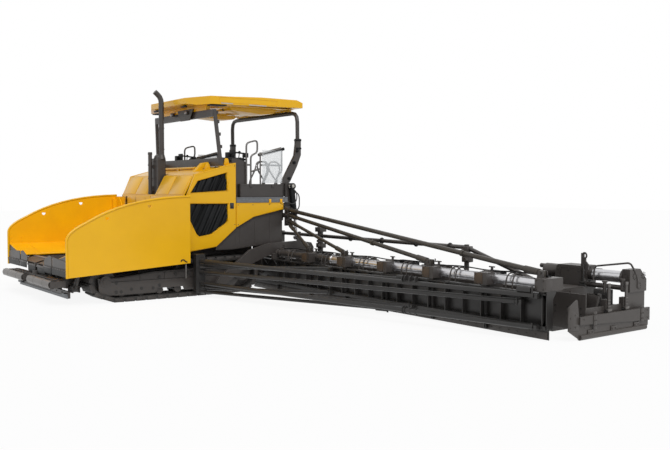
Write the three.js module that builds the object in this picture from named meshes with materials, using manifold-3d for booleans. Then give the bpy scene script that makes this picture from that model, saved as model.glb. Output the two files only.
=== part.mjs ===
// Wide crawler asphalt paver: tractor, hopper, augers and a rigid screed with sliding ends.
// Millimetres, +Z up, +X to the machine's left, +Y to its rear. While it is being built, y = 0
// is where the tracks first touch the ground; the whole group is then centred on its length.
import * as THREE from 'three';
import { mergeVertices } from 'three/addons/utils/BufferGeometryUtils.js';
import Module from 'manifold-3d';

const wasm = await Module();
wasm.setup();

// ---- driving dimensions -------------------------------------------------------------------
const seat = 0.3;                 // gap kept between pieces that touch
const fit = 0.5;                  // running gap at pins, eyes and guides

// tracks
const trackOuter = 1500;          // outer face of the shoes, from the centre line
const trackWidth = 440;
const groundRun = 2380;           // straight length on the ground
const beltThick = 80;
const shoeCount = 37;
const idler = { y: -170, z: 360, r: 290 };
const sprocket = { z: 350, r: 330, behindRun: 60 };
const toeRadius = 120;            // bend where the belt leaves the ground

// main frame
const frameHalf = 950;
const frameFront = -650;
const frameRear = 2970;
const frameBottom = 230;
const troughTop = 650;            // side walls of the conveyor trough under the hopper
const conveyorFloor = 500;
const tunnelTop = 1000;
const frameTop = 1060;
const tunnelHalf = 860;
const tunnelMiddle = 60;          // half width of the wall between the two conveyors
const throatStart = 1306;         // the frame rises to full height from here back
const scraperHalf = 1339;
const bulkheadRear = 3390;

// hopper
const wingOuter = 1669;           // outer face of a hopper wing
const wingWall = 14;
const wingFront = -875;
const wingRear = 1293;
const wingFrontLow = 475;         // lower edge of the outer wall, front and rear
const wingRearLow = 608;
const wingFrontTop = 1080;
const wingRearTop = 1781;
const wingPivot = { x: 925, z: 700 };
const wingKnuckle = { front: -600, rear: 1200, drop: 8, r: 20 };
const wingFloorOuter = 860;       // height of the wing's floor where it meets the wall
const wingRearBend = 220;         // the wall turns inward this far at its back end
const wingNose = { y: -560, z: 1360 };   // where the long top curve meets the rounded nose
const wingCrown = { y: 150, drop: 10 };  // the top curve's control point
const wingHole = { at: [0.355, 0.765], below: 100, r: 36 };  // lashing holes, by their place along the curve

// push beam
const pushBeamHalf = 1250;
const pushBeamBack = -800;
const pushBeamFront = -930;
const pushBeamTop = 418;
const rollerY = -1010;
const rollerZ = 353;
const rollerRadius = 68;
const rollerOuter = 1348;
const rollerInner = 150;

// engine hood, doors and side panels
const bodySide = 1450;            // outer face of doors and side panels
const bulkheadHalf = bodySide - 110;
const doorThick = 45;
const doorFront = 1340;
const doorRear = 2342;
const hoodFront = 1305;
const hoodFoot = 1790;            // where the front of the hood starts to slope
const hoodShoulder = { y: 1500, z: 2150 };
const hoodRearTop = 2385;
const hoodRear = 2335;
const hoodThick = 25;
const deckBottom = 1650;
const deckTop = 1750;
const deckRear = 3480;
const panelRear = 3380;
const panelThick = 45;

// canopy
const roofHalf = 1300;
const roofFront = 1913;
const roofNose = 1668;
const roofNoseHalf = 745;
const roofRear = 3937;
const roofTop = 3640;
const roofDeep = 180;
const roofRim = roofTop - roofDeep;
const roofPadTop = roofRim + 60;  // the pads that the roof stands on reach up into it
const portalTop = roofRim - 92;
const portalBeam = 128;           // depth of the front beam
const portalTube = 37;            // radius of its legs
const portalFoot = { x: bodySide - 105, y: 2085 };
const portalHead = { x: bodySide - 199, y: 2012 };
const portalSill = 146;           // height of the panel between the legs' feet
const portalPlate = 70;           // thickness of beam and sill, front to back
const hoopHalf = bodySide - 174;
const hoopY = 3822;
const hoopZ = roofRim - 65;
const hoopRadius = 40;
const hoopPlate = 35;             // half thickness of the brackets at its feet

// paving equipment
const boardFront = 3005;          // front face of the front limiting plate
const boardThick = 12;
const boardTop = 600;
const boardClear = 10;            // plate edge above the ground
const screedEnd = 7650;           // end of the fixed screed, which sets the width of the plate and augers
const boardEnd = screedEnd + 429;
const moduleInner = 1875;         // where the first full length starts
const moduleCount = 6;
const moduleLength = (boardEnd - moduleInner) / moduleCount;
const augerY = 3270;
const augerZ = 335;
const augerShaft = 45;
const augerRadius = 205;
const flightThick = 14;
const turnsPerModule = 2;
const stepsPerTurn = 5;
const augerEnd = screedEnd - 10;   // the last length overhangs its hanger, clear of the end gate
const hangerGap = 45;             // bare shaft on each side of a hanger
const carrierTop = boardTop + 187;   // top of the hanger boxes
const carrierBottom = boardTop + 25;
const carrierFront = 2904;
const carrierRear = 3264;
const carrierHalf = 80;
const torqueTube = { y: boardFront + 80, z: boardTop + 105, r: 62 };
const boxDepth = 160;             // hanger boxes inboard of the last
const stayInset = 170;            // a stay's foot, inboard of its module joint
const stayFootZ = carrierTop + 13;
const gearboxHalf = 90;

// braces
const postX = trackOuter + 160;
const postY = 1470;
const hub = { x: bodySide + 65, y: 3450 };

// screed
const screedFront = 3560;
const screedRear = 4300;
const screedTop = 560;
const screedInner = 1500;         // half width of the centre screed
const walkRear = 4800;
const walkTop = 330;
const walkThick = 30;
const walkEnd = screedEnd - 90;
const trussY = 4100;
const trussZ = 990;
const trussTube = 34;
const trussInner = 325;           // outer face of the post on the centre screed
const trussPost = screedEnd - 2050;

// sliding screed ends and end gates
const endTravel = 450;
const endTube = { y: 4550, z: 708, r: 80, engage: 260 };
const endHousing = screedEnd - 90;   // outer face of the tube's housing
const guideTube = { y: 4500, z: 568, r: 35, engage: 200 };
const slideCylinder = {
  y: 4740, z: 745, r: 34, rod: 16, start: screedEnd - 1110, end: screedEnd - 30, engage: 80,
};
const endStop = 25;               // room left behind a tube that is pushed right in
const frontPlate = { y: screedFront - 25, thick: 15 };   // slides across the front of the fixed screed
const endBody = { inner: screedEnd - 500, front: 4310, rear: 4780, top: 290 };
const clamp = {
  inner: screedEnd + 490, outer: screedEnd + 612, front: 4450, rear: 4836, bottom: 520, top: 828,
};
const gateX = screedEnd + 665;    // outer face of the end gate's band
const gateBand = 25;
const gateSheet = 18;
const gateRear = 4841;
const gatePosts = [3955, 4340];   // uprights that slide in the end unit's shoes
const armX = bodySide + 150;
const armThick = 70;
const carrierInner = armX + 100;  // the torque tube starts outside the tow arm
const towY = 1915;
const towZ = 205;

// hydraulic cylinders: eyes of the hopper's in (x, z), of the screed lift's in (y, z)
const wingCylinder = { y: -560, low: [1120, 230], high: [1400, 640], eye: 46, barrel: 350, rodStart: 62 };
const lift = { x: bodySide - 30, top: [3595, 1960], low: [3705, 960], eye: 56, barrel: 640, rodStart: 335 };

// ---- finishes -----------------------------------------------------------------------------
const paint = (color, roughness, metalness) =>
  new THREE.MeshStandardMaterial({ color, roughness, metalness });
const yellow = paint('#dfab28', 0.4, 0.1);
const hopperYellow = paint('#f0a410', 0.4, 0.1);
const dark = paint('#45403d', 0.55, 0.2);
const steel = paint('#8d8d90', 0.35, 0.9);
const chrome = paint('#d8d8dc', 0.15, 1.0);
const black = paint('#1d1d1e', 0.6, 0.1);
const rubberBlack = paint('#232223', 0.8, 0.0);

// ---- shape helpers ------------------------------------------------------------------------
const toSolid = (geometry) => {
  const bare = geometry.clone();
  for (const name of Object.keys(bare.attributes)) {
    if (name !== 'position') bare.deleteAttribute(name);
  }
  const merged = mergeVertices(bare, 1e-3);
  return new wasm.Manifold(new wasm.Mesh({
    numProp: 3,
    vertProperties: Float32Array.from(merged.attributes.position.array),
    triVerts: Uint32Array.from(merged.index.array),
  }));
};

const join = (...solids) => solids.reduce((whole, piece) => whole.add(piece));
const cut = (whole, ...tools) => tools.reduce((rest, tool) => rest.subtract(tool), whole);

const box = (x0, x1, y0, y1, z0, z1) => toSolid(
  new THREE.BoxGeometry(x1 - x0, y1 - y0, z1 - z0)
    .translate((x0 + x1) / 2, (y0 + y1) / 2, (z0 + z1) / 2));

const shapeOf = (points) => new THREE.Shape(points.map(([u, v]) => new THREE.Vector2(u, v)));

// an outline in (y, z) carried from x0 to x1
const plateX = (outline, x0, x1) => {
  const shape = Array.isArray(outline) ? shapeOf(outline) : outline;
  const body = new THREE.ExtrudeGeometry(shape, { depth: x1 - x0, bevelEnabled: false, curveSegments: 6 });
  body.applyMatrix4(new THREE.Matrix4().set(0, 0, 1, x0, 1, 0, 0, 0, 0, 1, 0, 0, 0, 0, 0, 1));
  return toSolid(body);
};

// an outline in (x, z) carried from y0 to y1
const plateY = (outline, y0, y1) => {
  const shape = Array.isArray(outline) ? shapeOf(outline) : outline;
  const body = new THREE.ExtrudeGeometry(shape, { depth: y1 - y0, bevelEnabled: false, curveSegments: 6 });
  return toSolid(body.rotateX(Math.PI / 2).translate(0, y1, 0));
};

// an outline in (x, y) carried from z0 to z1
const plateZ = (outline, z0, z1) => toSolid(
  new THREE.ExtrudeGeometry(shapeOf(outline), { depth: z1 - z0, bevelEnabled: false }).translate(0, 0, z0));

const rod = (from, to, radius, sides = 12) => {
  const a = new THREE.Vector3(...from);
  const b = new THREE.Vector3(...to);
  const body = new THREE.CylinderGeometry(radius, radius, a.distanceTo(b), sides);
  const turn = new THREE.Quaternion().setFromUnitVectors(
    new THREE.Vector3(0, 1, 0), b.clone().sub(a).normalize());
  body.applyQuaternion(turn).translate((a.x + b.x) / 2, (a.y + b.y) / 2, (a.z + b.z) / 2);
  return toSolid(body);
};

// a round tube along points, with its corners rounded
const bentTube = (points, radius, bend, sides = 8) => {
  const path = new THREE.CurvePath();
  const corners = points.map((point) => new THREE.Vector3(...point));
  let start = corners[0];
  for (let i = 1; i < corners.length - 1; i += 1) {
    const before = corners[i].clone().add(
      corners[i - 1].clone().sub(corners[i]).setLength(bend));
    const after = corners[i].clone().add(
      corners[i + 1].clone().sub(corners[i]).setLength(bend));
    path.add(new THREE.LineCurve3(start, before));
    path.add(new THREE.QuadraticBezierCurve3(before, corners[i], after));
    start = after;
  }
  path.add(new THREE.LineCurve3(start, corners[corners.length - 1]));
  const stations = [];
  for (const curve of path.curves) {
    const steps = curve.isLineCurve3 ? 1 : 3;
    for (let k = 0; k < steps; k += 1) stations.push(curve.getPoint(k / steps));
  }
  stations.push(corners[corners.length - 1]);
  return sweep(stations, radius, sides);
};

// a closed tube through a list of stations, its rings turned with the path
const sweep = (stations, radius, sides) => {
  const positions = [];
  const indices = [];
  const tangents = stations.map((point, i) => {
    const ahead = stations[Math.min(i + 1, stations.length - 1)];
    const behind = stations[Math.max(i - 1, 0)];
    return ahead.clone().sub(behind).normalize();
  });
  let side = new THREE.Vector3(0, 0, 1);
  if (Math.abs(side.dot(tangents[0])) > 0.9) side = new THREE.Vector3(1, 0, 0);
  stations.forEach((point, i) => {
    side.sub(tangents[i].clone().multiplyScalar(side.dot(tangents[i]))).normalize();
    const other = tangents[i].clone().cross(side);
    for (let k = 0; k < sides; k += 1) {
      const angle = (2 * Math.PI * k) / sides;
      const rim = point.clone()
        .addScaledVector(side, radius * Math.cos(angle))
        .addScaledVector(other, radius * Math.sin(angle));
      positions.push(rim.x, rim.y, rim.z);
    }
  });
  for (let i = 0; i < stations.length - 1; i += 1) {
    for (let k = 0; k < sides; k += 1) {
      const a = i * sides + k;
      const b = i * sides + ((k + 1) % sides);
      indices.push(a, b, b + sides, a, b + sides, a + sides);
    }
  }
  const last = (stations.length - 1) * sides;
  for (let k = 1; k < sides - 1; k += 1) {
    indices.push(0, k + 1, k);
    indices.push(last, last + k, last + k + 1);
  }
  const tube = new THREE.BufferGeometry();
  tube.setAttribute('position', new THREE.Float32BufferAttribute(positions, 3));
  tube.setIndex(indices);
  return toSolid(tube);
};

const geometryOf = (solid) => {
  const mesh = solid.getMesh();
  const indexed = new THREE.BufferGeometry();
  indexed.setAttribute('position', new THREE.BufferAttribute(Float32Array.from(mesh.vertProperties), 3));
  indexed.setIndex(new THREE.BufferAttribute(Uint32Array.from(mesh.triVerts), 1));
  return indexed;
};

// the same geometry on the other side of the centre line, its faces still pointing out
const mirrored = (geometry) => {
  const other = geometry.clone().scale(-1, 1, 1);
  const index = other.index.array;
  for (let i = 0; i < index.length; i += 3) {
    [index[i + 1], index[i + 2]] = [index[i + 2], index[i + 1]];
  }
  return other;
};

const paver = new THREE.Group();

const place = (name, geometry, finish) => {
  const faceted = geometry.toNonIndexed();
  faceted.computeVertexNormals();
  const mesh = new THREE.Mesh(faceted, finish);
  mesh.name = name;
  paver.add(mesh);
};

const single = (name, solid, finish) => place(name, geometryOf(solid), finish);

const pair = (name, solid, finish) => {
  const left = geometryOf(solid);
  place(`${name}_left`, left, finish);
  place(`${name}_right`, mirrored(left), finish);
};

// ---- tracks -------------------------------------------------------------------------------
// a belt round circles listed counter-clockwise in (y, z)
const beltPath = (circles) => {
  const tangentAngle = circles.map((here, i) => {
    const next = circles[(i + 1) % circles.length];
    const dy = next.y - here.y;
    const dz = next.z - here.z;
    const along = Math.atan2(dz, dy);
    return along - Math.PI / 2 + Math.asin((next.r - here.r) / Math.hypot(dy, dz)) * -1;
  });
  const path = new THREE.Path();
  circles.forEach((circle, i) => {
    const from = tangentAngle[(i + circles.length - 1) % circles.length];
    path.absarc(circle.y, circle.z, circle.r, from, tangentAngle[i], false);
  });
  path.closePath();
  return path;
};

const sprocketY = groundRun + sprocket.behindRun;
const beltCircles = (inset) => [
  { y: 0, z: toeRadius, r: toeRadius - inset },
  { y: groundRun, z: toeRadius, r: toeRadius - inset },
  { y: sprocketY, z: sprocket.z, r: sprocket.r - inset },
  { y: idler.y, z: idler.z, r: idler.r - inset },
];

const track = () => {
  const path = beltPath(beltCircles(0));
  const pitch = 1 / shoeCount;
  const grooveDepth = 22;
  const grooveShare = 0.07;
  const outline = [];
  const edgePoint = (u, depth) => {
    const point = path.getPointAt(u % 1);
    const along = path.getTangentAt(u % 1);
    outline.push([point.x - along.y * depth, point.y + along.x * depth]);
  };
  for (let i = 0; i < shoeCount; i += 1) {
    edgePoint((i + grooveShare) * pitch, 0);
    edgePoint((i + 1 - grooveShare) * pitch, 0);
    edgePoint((i + 1 - grooveShare) * pitch, grooveDepth);
    edgePoint((i + 1) * pitch + grooveShare * pitch * 0.9, grooveDepth);
  }
  const belt = shapeOf(outline);
  const inner = beltPath(beltCircles(beltThick)).getPoints(5).map((p) => [p.x, p.y]);
  const window = plateX(inner.slice(0, -1), trackOuter - trackWidth - 1, trackOuter + 1);
  return cut(plateX(belt, trackOuter - trackWidth, trackOuter), window);
};

const runFloor = beltThick + seat;

const trackFrame = () => {
  const innerX = trackOuter - trackWidth + 40;
  const outerX = trackOuter - 30;
  const web = 35;
  const outline = [
    [-290, 235], [-215, 190], [0, 112], [720, 112], [790, 190], [groundRun - 60, 190],
    [groundRun + 60, 300], [groundRun + 60, 430], [groundRun - 100, 500], [700, 480], [80, 415], [-300, 415],
  ];
  const rollerR = 72;
  const body = [
    plateX(outline, innerX, innerX + web),
    plateX(outline, outerX - web, outerX),
    box(innerX, outerX, 60, groundRun - 260, 250, 400),
  ];
  const [firstRoller, rollers] = [120, 7];
  const rollerPitch = (groundRun - 190 - firstRoller) / (rollers - 1);
  for (let i = 0; i < rollers; i += 1) {
    const y = firstRoller + i * rollerPitch;
    body.push(rod([innerX + web - 5, y, runFloor + rollerR], [outerX - web + 5, y, runFloor + rollerR], rollerR, 8));
    body.push(box((innerX + outerX) / 2 - 20, (innerX + outerX) / 2 + 20, y - 30, y + 30, 150, 300));
  }
  body.push(rod([innerX + 10, idler.y, idler.z], [outerX - 10, idler.y, idler.z], 60));
  body.push(rod([innerX + 90, idler.y, idler.z], [outerX - 90, idler.y, idler.z], idler.r - beltThick - 8, 16));
  body.push(rod([innerX + 10, sprocketY, sprocket.z], [outerX - 10, sprocketY, sprocket.z], 90));
  body.push(rod([innerX + 90, sprocketY, sprocket.z], [outerX - 90, sprocketY, sprocket.z],
    sprocket.r - beltThick - 8, 16));
  for (const y of [420, groundRun - 380]) {
    body.push(box(frameHalf + seat, innerX + 5, y - 110, y + 110, 250, 400));
  }
  return join(...body);
};

// ---- main frame ---------------------------------------------------------------------------
const mainFrame = () => {
  const shell = join(
    box(-frameHalf, frameHalf, frameFront, throatStart, frameBottom, troughTop),
    box(-frameHalf, frameHalf, throatStart, frameRear, frameBottom, frameTop));
  const tools = [];
  for (const side of [-1, 1]) {
    const near = side * tunnelMiddle;
    const far = side * tunnelHalf;
    const [x0, x1] = [Math.min(near, far), Math.max(near, far)];
    tools.push(box(x0, x1, frameFront - 1, frameRear + 100, conveyorFloor, tunnelTop));
    tools.push(box(x0, x1, frameFront + 120, frameRear - 120, frameBottom - 1, conveyorFloor - 60));
  }
  tools.push(box(-tunnelHalf, tunnelHalf, frameFront - 1, throatStart, conveyorFloor + 40, troughTop + 1));
  const rearFlange = cut(
    box(-1300, 1300, boardFront - 40 - seat, boardFront - seat, 300, 590),
    box(-tunnelHalf, tunnelHalf, boardFront - 60, boardFront, conveyorFloor, 600));
  const flangeWeb = box(-frameHalf, frameHalf, frameRear - 10, boardFront - 40, 300, 480);
  const topDeck = box(-frameHalf, frameHalf, frameRear - 10, bulkheadRear - 5, tunnelTop, frameTop);
  const bulkhead = box(-bulkheadHalf, bulkheadHalf, bulkheadRear - 40, bulkheadRear, 900, deckBottom - seat);
  const shelf = box(-bulkheadHalf, bulkheadHalf, 2900, bulkheadRear - 20, tunnelTop, frameTop);
  const scraper = join(
    box(-scraperHalf, scraperHalf, -756, -716, 110, 225),
    box(-700, 700, -720, frameFront + 10, 180, 300),
    box(-700, 700, -756, frameFront + 10, 180, 225));
  const boss = box(-120, 120, pushBeamBack - 30, frameFront + 10, pushBeamTop + fit, pushBeamTop + 60);
  const hinges = [];
  for (const side of [-1, 1]) {
    const span = (a, b) => (side < 0 ? [-b, -a] : [a, b]);
    const [x0, x1] = span(wingPivot.x - 30, frameHalf);
    const { front, rear } = wingKnuckle;
    hinges.push(box(x0, x1, front - fit - 40, front - fit, troughTop - 5, wingPivot.z - 22));
    hinges.push(box(x0, x1, rear + fit, rear + fit + 40, troughTop - 5, wingPivot.z - 22));
    const [e0, e1] = span(frameHalf - 5, wingCylinder.low[0] + 55);
    for (const near of [-1, 1]) {
      const inner = wingCylinder.y + near * (wingCylinder.eye + fit);
      const outer = inner + near * 20;
      hinges.push(box(e0, e1, Math.min(inner, outer), Math.max(inner, outer),
        wingCylinder.low[1] - 55, wingCylinder.low[1] + 55));
    }
    const [b0, b1] = span(hoopHalf + hoopPlate + 8.5, lift.x - lift.eye - fit);
    hinges.push(box(b0, b1, deckRear + 5, lift.top[0] + 60, 1500, lift.top[1] + 60));
    const [c0, c1] = span(bulkheadHalf - 100, lift.x - lift.eye - fit);
    hinges.push(box(c0, c1, bulkheadRear - 5, deckRear + 10, 1500, deckBottom - 10));
  }
  const gearbox = join(
    box(-gearboxHalf, gearboxHalf, frameRear, augerY - 60, 260, 480),
    box(-gearboxHalf, gearboxHalf, augerY - 120, augerY + 110, augerZ - 110, augerZ + 110));
  return join(cut(shell, ...tools), rearFlange, flangeWeb, topDeck, bulkhead, shelf, scraper, boss, gearbox, ...hinges);
};

const conveyor = () => {
  const bottom = conveyorFloor + seat;
  const margin = 15;
  const plate = 14;
  const slat = { wide: 45, high: 34, pitch: 330 };
  const [x0, x1] = [tunnelMiddle + margin, tunnelHalf - margin];
  const body = [box(x0, x1, frameFront + 20, frameRear - 40, bottom, bottom + plate)];
  for (let y = frameFront + 90; y < frameRear - 80; y += slat.pitch) {
    body.push(box(x0, x1, y, y + slat.wide, bottom + plate - 4, bottom + slat.high));
  }
  return join(...body);
};

// ---- hopper -------------------------------------------------------------------------------
const hopperWing = () => {
  const top = new THREE.Shape();
  top.moveTo(wingFront, wingFrontLow);
  top.lineTo(wingRear, wingRearLow);
  top.lineTo(wingRear, wingRearTop);
  top.quadraticCurveTo(wingCrown.y, wingRearTop - wingCrown.drop, wingNose.y, wingNose.z);
  top.quadraticCurveTo(wingFront, 1220, wingFront, wingFrontTop);
  top.closePath();
  const crown = new THREE.QuadraticBezierCurve(new THREE.Vector2(wingRear, wingRearTop),
    new THREE.Vector2(wingCrown.y, wingRearTop - wingCrown.drop), new THREE.Vector2(wingNose.y, wingNose.z));
  const holes = wingHole.at.map((t) => {
    const { x: y, y: z } = crown.getPoint(t);
    const steps = [0, 1, 2, 3, 4, 5, 6, 7, 8].map((k) => (160 + 27.5 * k) * Math.PI / 180);
    return plateX(steps.map((a) => [y + wingHole.r * Math.cos(a), z - wingHole.below + wingHole.r * Math.sin(a)]),
      wingOuter - wingWall - 5, wingOuter + 5);
  });
  const wall = cut(plateX(top, wingOuter - wingWall, wingOuter), ...holes);
  const sheet = 16;
  const floor = plateY([
    [wingPivot.x, wingPivot.z - sheet], [wingOuter - 8, wingFloorOuter - sheet],
    [wingOuter - 8, wingFloorOuter], [wingPivot.x, wingPivot.z],
  ], wingFront + 20, wingRear - 20);
  const back = plateY([
    [wingPivot.x + 40, wingPivot.z], [wingOuter - 8, wingFloorOuter - 5], [wingOuter - 8, wingRearTop - 30],
    [wingOuter - wingRearBend, wingRearTop - 40], [wingPivot.x + 60, 1150],
  ], wingRear - 34, wingRear - 20);
  const ribs = [-780, -150, 480, 1110].map((y) => plateY([
    [trackOuter + 12, wingFloorOuter - 60], [wingOuter - 8, wingFloorOuter - 12], [wingOuter - 8, 640],
  ], y, y + 14));
  const pinZ = wingPivot.z - wingKnuckle.drop;
  const knuckle = rod([wingPivot.x, wingKnuckle.front, pinZ], [wingPivot.x, wingKnuckle.rear, pinZ], wingKnuckle.r);
  const { y, high, eye } = wingCylinder;
  const lugs = [-1, 1].map((near) => {
    const inner = y + near * (eye + fit);
    const outer = inner + near * 18;
    return box(high[0] - 35, high[0] + 35, Math.min(inner, outer), Math.max(inner, outer), high[1] - 40, 810);
  });
  return join(wall, floor, back, knuckle, ...ribs, ...lugs);
};

// ---- wing cylinders -----------------------------------------------------------------------
// a hydraulic cylinder between two eyes given in the plane across its pins
const barrelOf = (low, high, at, length, radius, bore, eyeHalf, eyeRadius) => {
  const along = (d) => at(low, high, d);
  const reach = Math.hypot(high[0] - low[0], high[1] - low[1]);
  const body = join(
    rod(along(0), along(length / reach), radius),
    rod(...at.eye(low, eyeHalf), eyeRadius));
  return cut(body, rod(along((eyeRadius + 12) / reach), along((length + 5) / reach), bore + fit));
};
const rodOf = (low, high, at, start, radius, eyeHalf, eyeRadius) => {
  const reach = Math.hypot(high[0] - low[0], high[1] - low[1]);
  return join(
    rod(at(low, high, start / reach), at(low, high, 1), radius),
    rod(...at.eye(high, eyeHalf), eyeRadius));
};
const mix = (a, b, t) => a.map((value, i) => value + (b[i] - value) * t);

const acrossWing = (low, high, t) => {
  const [x, z] = mix(low, high, t);
  return [x, wingCylinder.y, z];
};
acrossWing.eye = ([x, z], half) => [[x, wingCylinder.y - half, z], [x, wingCylinder.y + half, z]];

// ---- push beam and rollers ----------------------------------------------------------------
const pushBeam = () => {
  const body = [
    box(-pushBeamHalf, pushBeamHalf, pushBeamFront, pushBeamBack, 290, pushBeamTop),
  ];
  for (const side of [-1, 1]) {
    for (const x of [rollerInner - 12, rollerOuter + 12]) {
      const centre = side * x;
      body.push(box(centre - 12 + fit, centre + 12 - fit, rollerY - 45, pushBeamBack, rollerZ - 55, rollerZ + 55));
    }
    const [x0, x1] = side < 0 ? [-rollerOuter - 20, -pushBeamHalf + 5] : [pushBeamHalf - 5, rollerOuter + 20];
    body.push(box(x0, x1, pushBeamFront, pushBeamBack, 300, 408));
  }
  return join(...body);
};
const pushRoller = () => rod([rollerInner, rollerY, rollerZ], [rollerOuter, rollerY, rollerZ], rollerRadius, 20);

// ---- hood and doors -----------------------------------------------------------------------
const hoodHalf = bodySide - doorThick - 25;
const hoodSlope = (hoodRearTop - hoodShoulder.z) / (hoodRear - hoodShoulder.y);
const portalLow = hoodShoulder.z + hoodSlope * (portalFoot.y + portalPlate / 2 - hoodShoulder.y) + 5.5;
const hood = () => {
  const outer = [
    [hoodFront, frameTop + seat], [hoodFront, hoodFoot], [hoodShoulder.y, hoodShoulder.z],
    [hoodRear, hoodRearTop], [hoodRear, deckTop + 40], [hoodRear - hoodThick, deckTop + 40],
    [hoodRear - hoodThick, hoodRearTop - hoodThick * 1.3],
    [hoodShoulder.y + hoodThick * 0.6, hoodShoulder.z - hoodThick],
    [hoodFront + hoodThick, hoodFoot - 6], [hoodFront + hoodThick, frameTop + seat],
  ];
  const shell = plateX(outer, -hoodHalf, hoodHalf);
  const slot = box(-190, 190, hoodFront - 10, 1640, hoodFoot + 10, 2600);
  const pocket = join(
    box(-205, -189, hoodFront, 1655, hoodFoot - 5, 2040),
    box(189, 205, hoodFront, 1655, hoodFoot - 5, 2040),
    box(-205, 205, 1640, 1655, hoodFoot - 5, 2160),
    box(-205, 205, hoodFront, 1655, hoodFoot - 5, hoodFoot + 10));
  const keep = plateX([[hoodFront, 1000], [hoodFront, hoodFoot], [hoodShoulder.y, hoodShoulder.z],
    [hoodRear, hoodRearTop], [hoodRear, 1000]], -hoodHalf, hoodHalf);
  const foot = box(-frameHalf, frameHalf, hoodFront, 1400, frameTop + seat, frameTop + 30);
  const hinges = [];
  for (const z of [1180, 1700]) {
    for (const [x0, x1] of [[-bodySide + doorThick + fit, -hoodHalf + 5], [hoodHalf - 5, bodySide - doorThick - fit]]) {
      hinges.push(box(x0, x1, hoodFront + 5, doorFront + 32, z, z + 60));
    }
  }
  const padTop = portalLow - seat;
  const pads = [[-hoodHalf + 5, 100 - hoodHalf], [hoodHalf - 100, hoodHalf - 5]].map(([x0, x1]) => box(x0, x1,
    portalFoot.y - portalPlate / 2, portalFoot.y + portalPlate / 2, padTop - 60, padTop));
  return join(cut(shell, slot), pocket.intersect(keep), foot, ...hinges, ...pads);
};

const doorOutline = [
  [doorFront, 778], [1927, 853], [doorRear, 1184], [doorRear, hoodRearTop + 5], [1505, 2165], [doorFront, hoodFoot],
];
const upperWindow = [[1425, 1840], [1560, 2045], [2141, 2200], [2161, 1880]];
const lowerWindow = [[1400, 1640], [1400, 1355], [1530, 1101], [1587, 1053], [1825, 1092], [2164, 1310], [2166, 1633]];
const door = () => cut(
  plateX(doorOutline, bodySide - doorThick, bodySide),
  plateX(upperWindow, bodySide - doorThick - 1, bodySide + 1),
  plateX(lowerWindow, bodySide - doorThick - 1, bodySide + 1));

const doorGrille = () => {
  const outer = bodySide - doorThick - seat;
  const sheet = plateX([[1385, 1100], [1560, 1000], [1850, 1050], [2200, 1270], [2200, 2240], [1540, 2075], [1385, 1860]],
    outer - 12, outer);
  const inUpper = plateX(upperWindow.map(([y, z]) => [1790 + (y - 1790) * 0.975, 2000 + (z - 2000) * 0.96]),
    outer - 2, bodySide - 2);
  const inLower = plateX(lowerWindow.map(([y, z]) => [1790 + (y - 1790) * 0.975, 1370 + (z - 1370) * 0.97]),
    outer - 2, bodySide - 2);
  const louvres = [];
  for (let i = -4; i < 13; i += 1) {
    const y = 1000 + i * 130;
    louvres.push(plateX([[y, 1000], [y + 45, 1000], [y + 645, 2300], [y + 600, 2300]], outer - 2, bodySide - 12));
  }
  const bars = join(...louvres);
  return join(sheet, bars.intersect(inUpper), bars.intersect(inLower));
};

const sidePanel = () => plateX([
  [doorRear + 8, 1196], [2720, 1384], [3359, 1511], [panelRear, 1515], [panelRear, deckBottom - seat],
  [doorRear + 8, deckBottom - seat],
], bodySide - panelThick, bodySide);

const lowerPanel = () => plateX([
  [1940, 845], [1940, 790], [2309, 790], [3341, 885], [panelRear, 900], [panelRear, deckBottom - seat],
  [doorRear + 8, deckBottom - seat], [doorRear + 8, 1178],
], bodySide - 2 * panelThick, bodySide - panelThick - seat);

const engineBlock = () => box(-480, 480, 1700, 2280, frameTop + seat, 1950);

// ---- exhaust ------------------------------------------------------------------------------
const exhaust = () => {
  const base = hoodFoot + 10 + seat;
  const [silencerFront, silencerRear, silencerTop] = [1400, 1560, 2490];
  const [stackX, stackY, stackTop] = [85, 1500, 3745];
  const [drainX, drainY] = [-100, 1345];
  return join(
    box(-135, 130, silencerFront, silencerRear, base, silencerTop),
    bentTube([[stackX, stackY, silencerTop - 10], [stackX, stackY, stackTop - 105],
      [stackX, stackY - 130, stackTop]], 50, 95, 10),
    rod([drainX, drainY, base], [drainX, drainY, silencerTop + 120], 38, 10),
    box(drainX - 20, drainX + 20, drainY, silencerFront + 10, 1900, 1960),
    box(drainX - 20, drainX + 20, drainY, silencerFront + 10, 2300, 2360));
};

// ---- platform -----------------------------------------------------------------------------
const platform = () => join(
  box(-bodySide, bodySide, doorRear + 8, deckRear, deckBottom, deckTop),
  box(-hoodHalf, hoodHalf, 2290, doorRear + 10, deckBottom, deckTop));

const sideBoxTop = 1992;
const sideBox = () => box(bodySide - 390, bodySide - 100, 2490, 3435, deckTop + seat, sideBoxTop);
const consoleBox = () => plateX([
  [2362, deckTop + seat], [2484, deckTop + seat], [2484, 1995], [2671, 1995], [2671, 2420], [2445, 2480], [2362, 2470],
], bodySide - 550, bodySide - 188);

const handrail = () => {
  const x = bodySide - 166;
  const r = 17;
  const low = sideBoxTop + seat;
  return join(
    bentTube([[x, 2661, low], [x, 2661, 2770], [x, 2901, 2830], [x, 2901, 2590], [x, 2756, 2540],
      [x, 2756, low]], r, 70, 6),
    rod([x, 2661, 2360], [x, 2756, 2360], r, 6),
    rod([x, 2756, 2230], [x, 2966, 2290], r, 6),
    rod([x, 2966, low], [x, 2966, 2600], r, 6),
    rod([x, 2927, 2551], [x, 3435, 2685], 30, 8),
    bentTube([[x, 3396, 2675], [x, 3450, 2690], [x, 3450, 2250], [x, 3336, 2120], [x, 3336, low]], r, 34, 6),
    rod([x, 2956, 2360], [x, 3450, 2360], r, 6));
};

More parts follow.
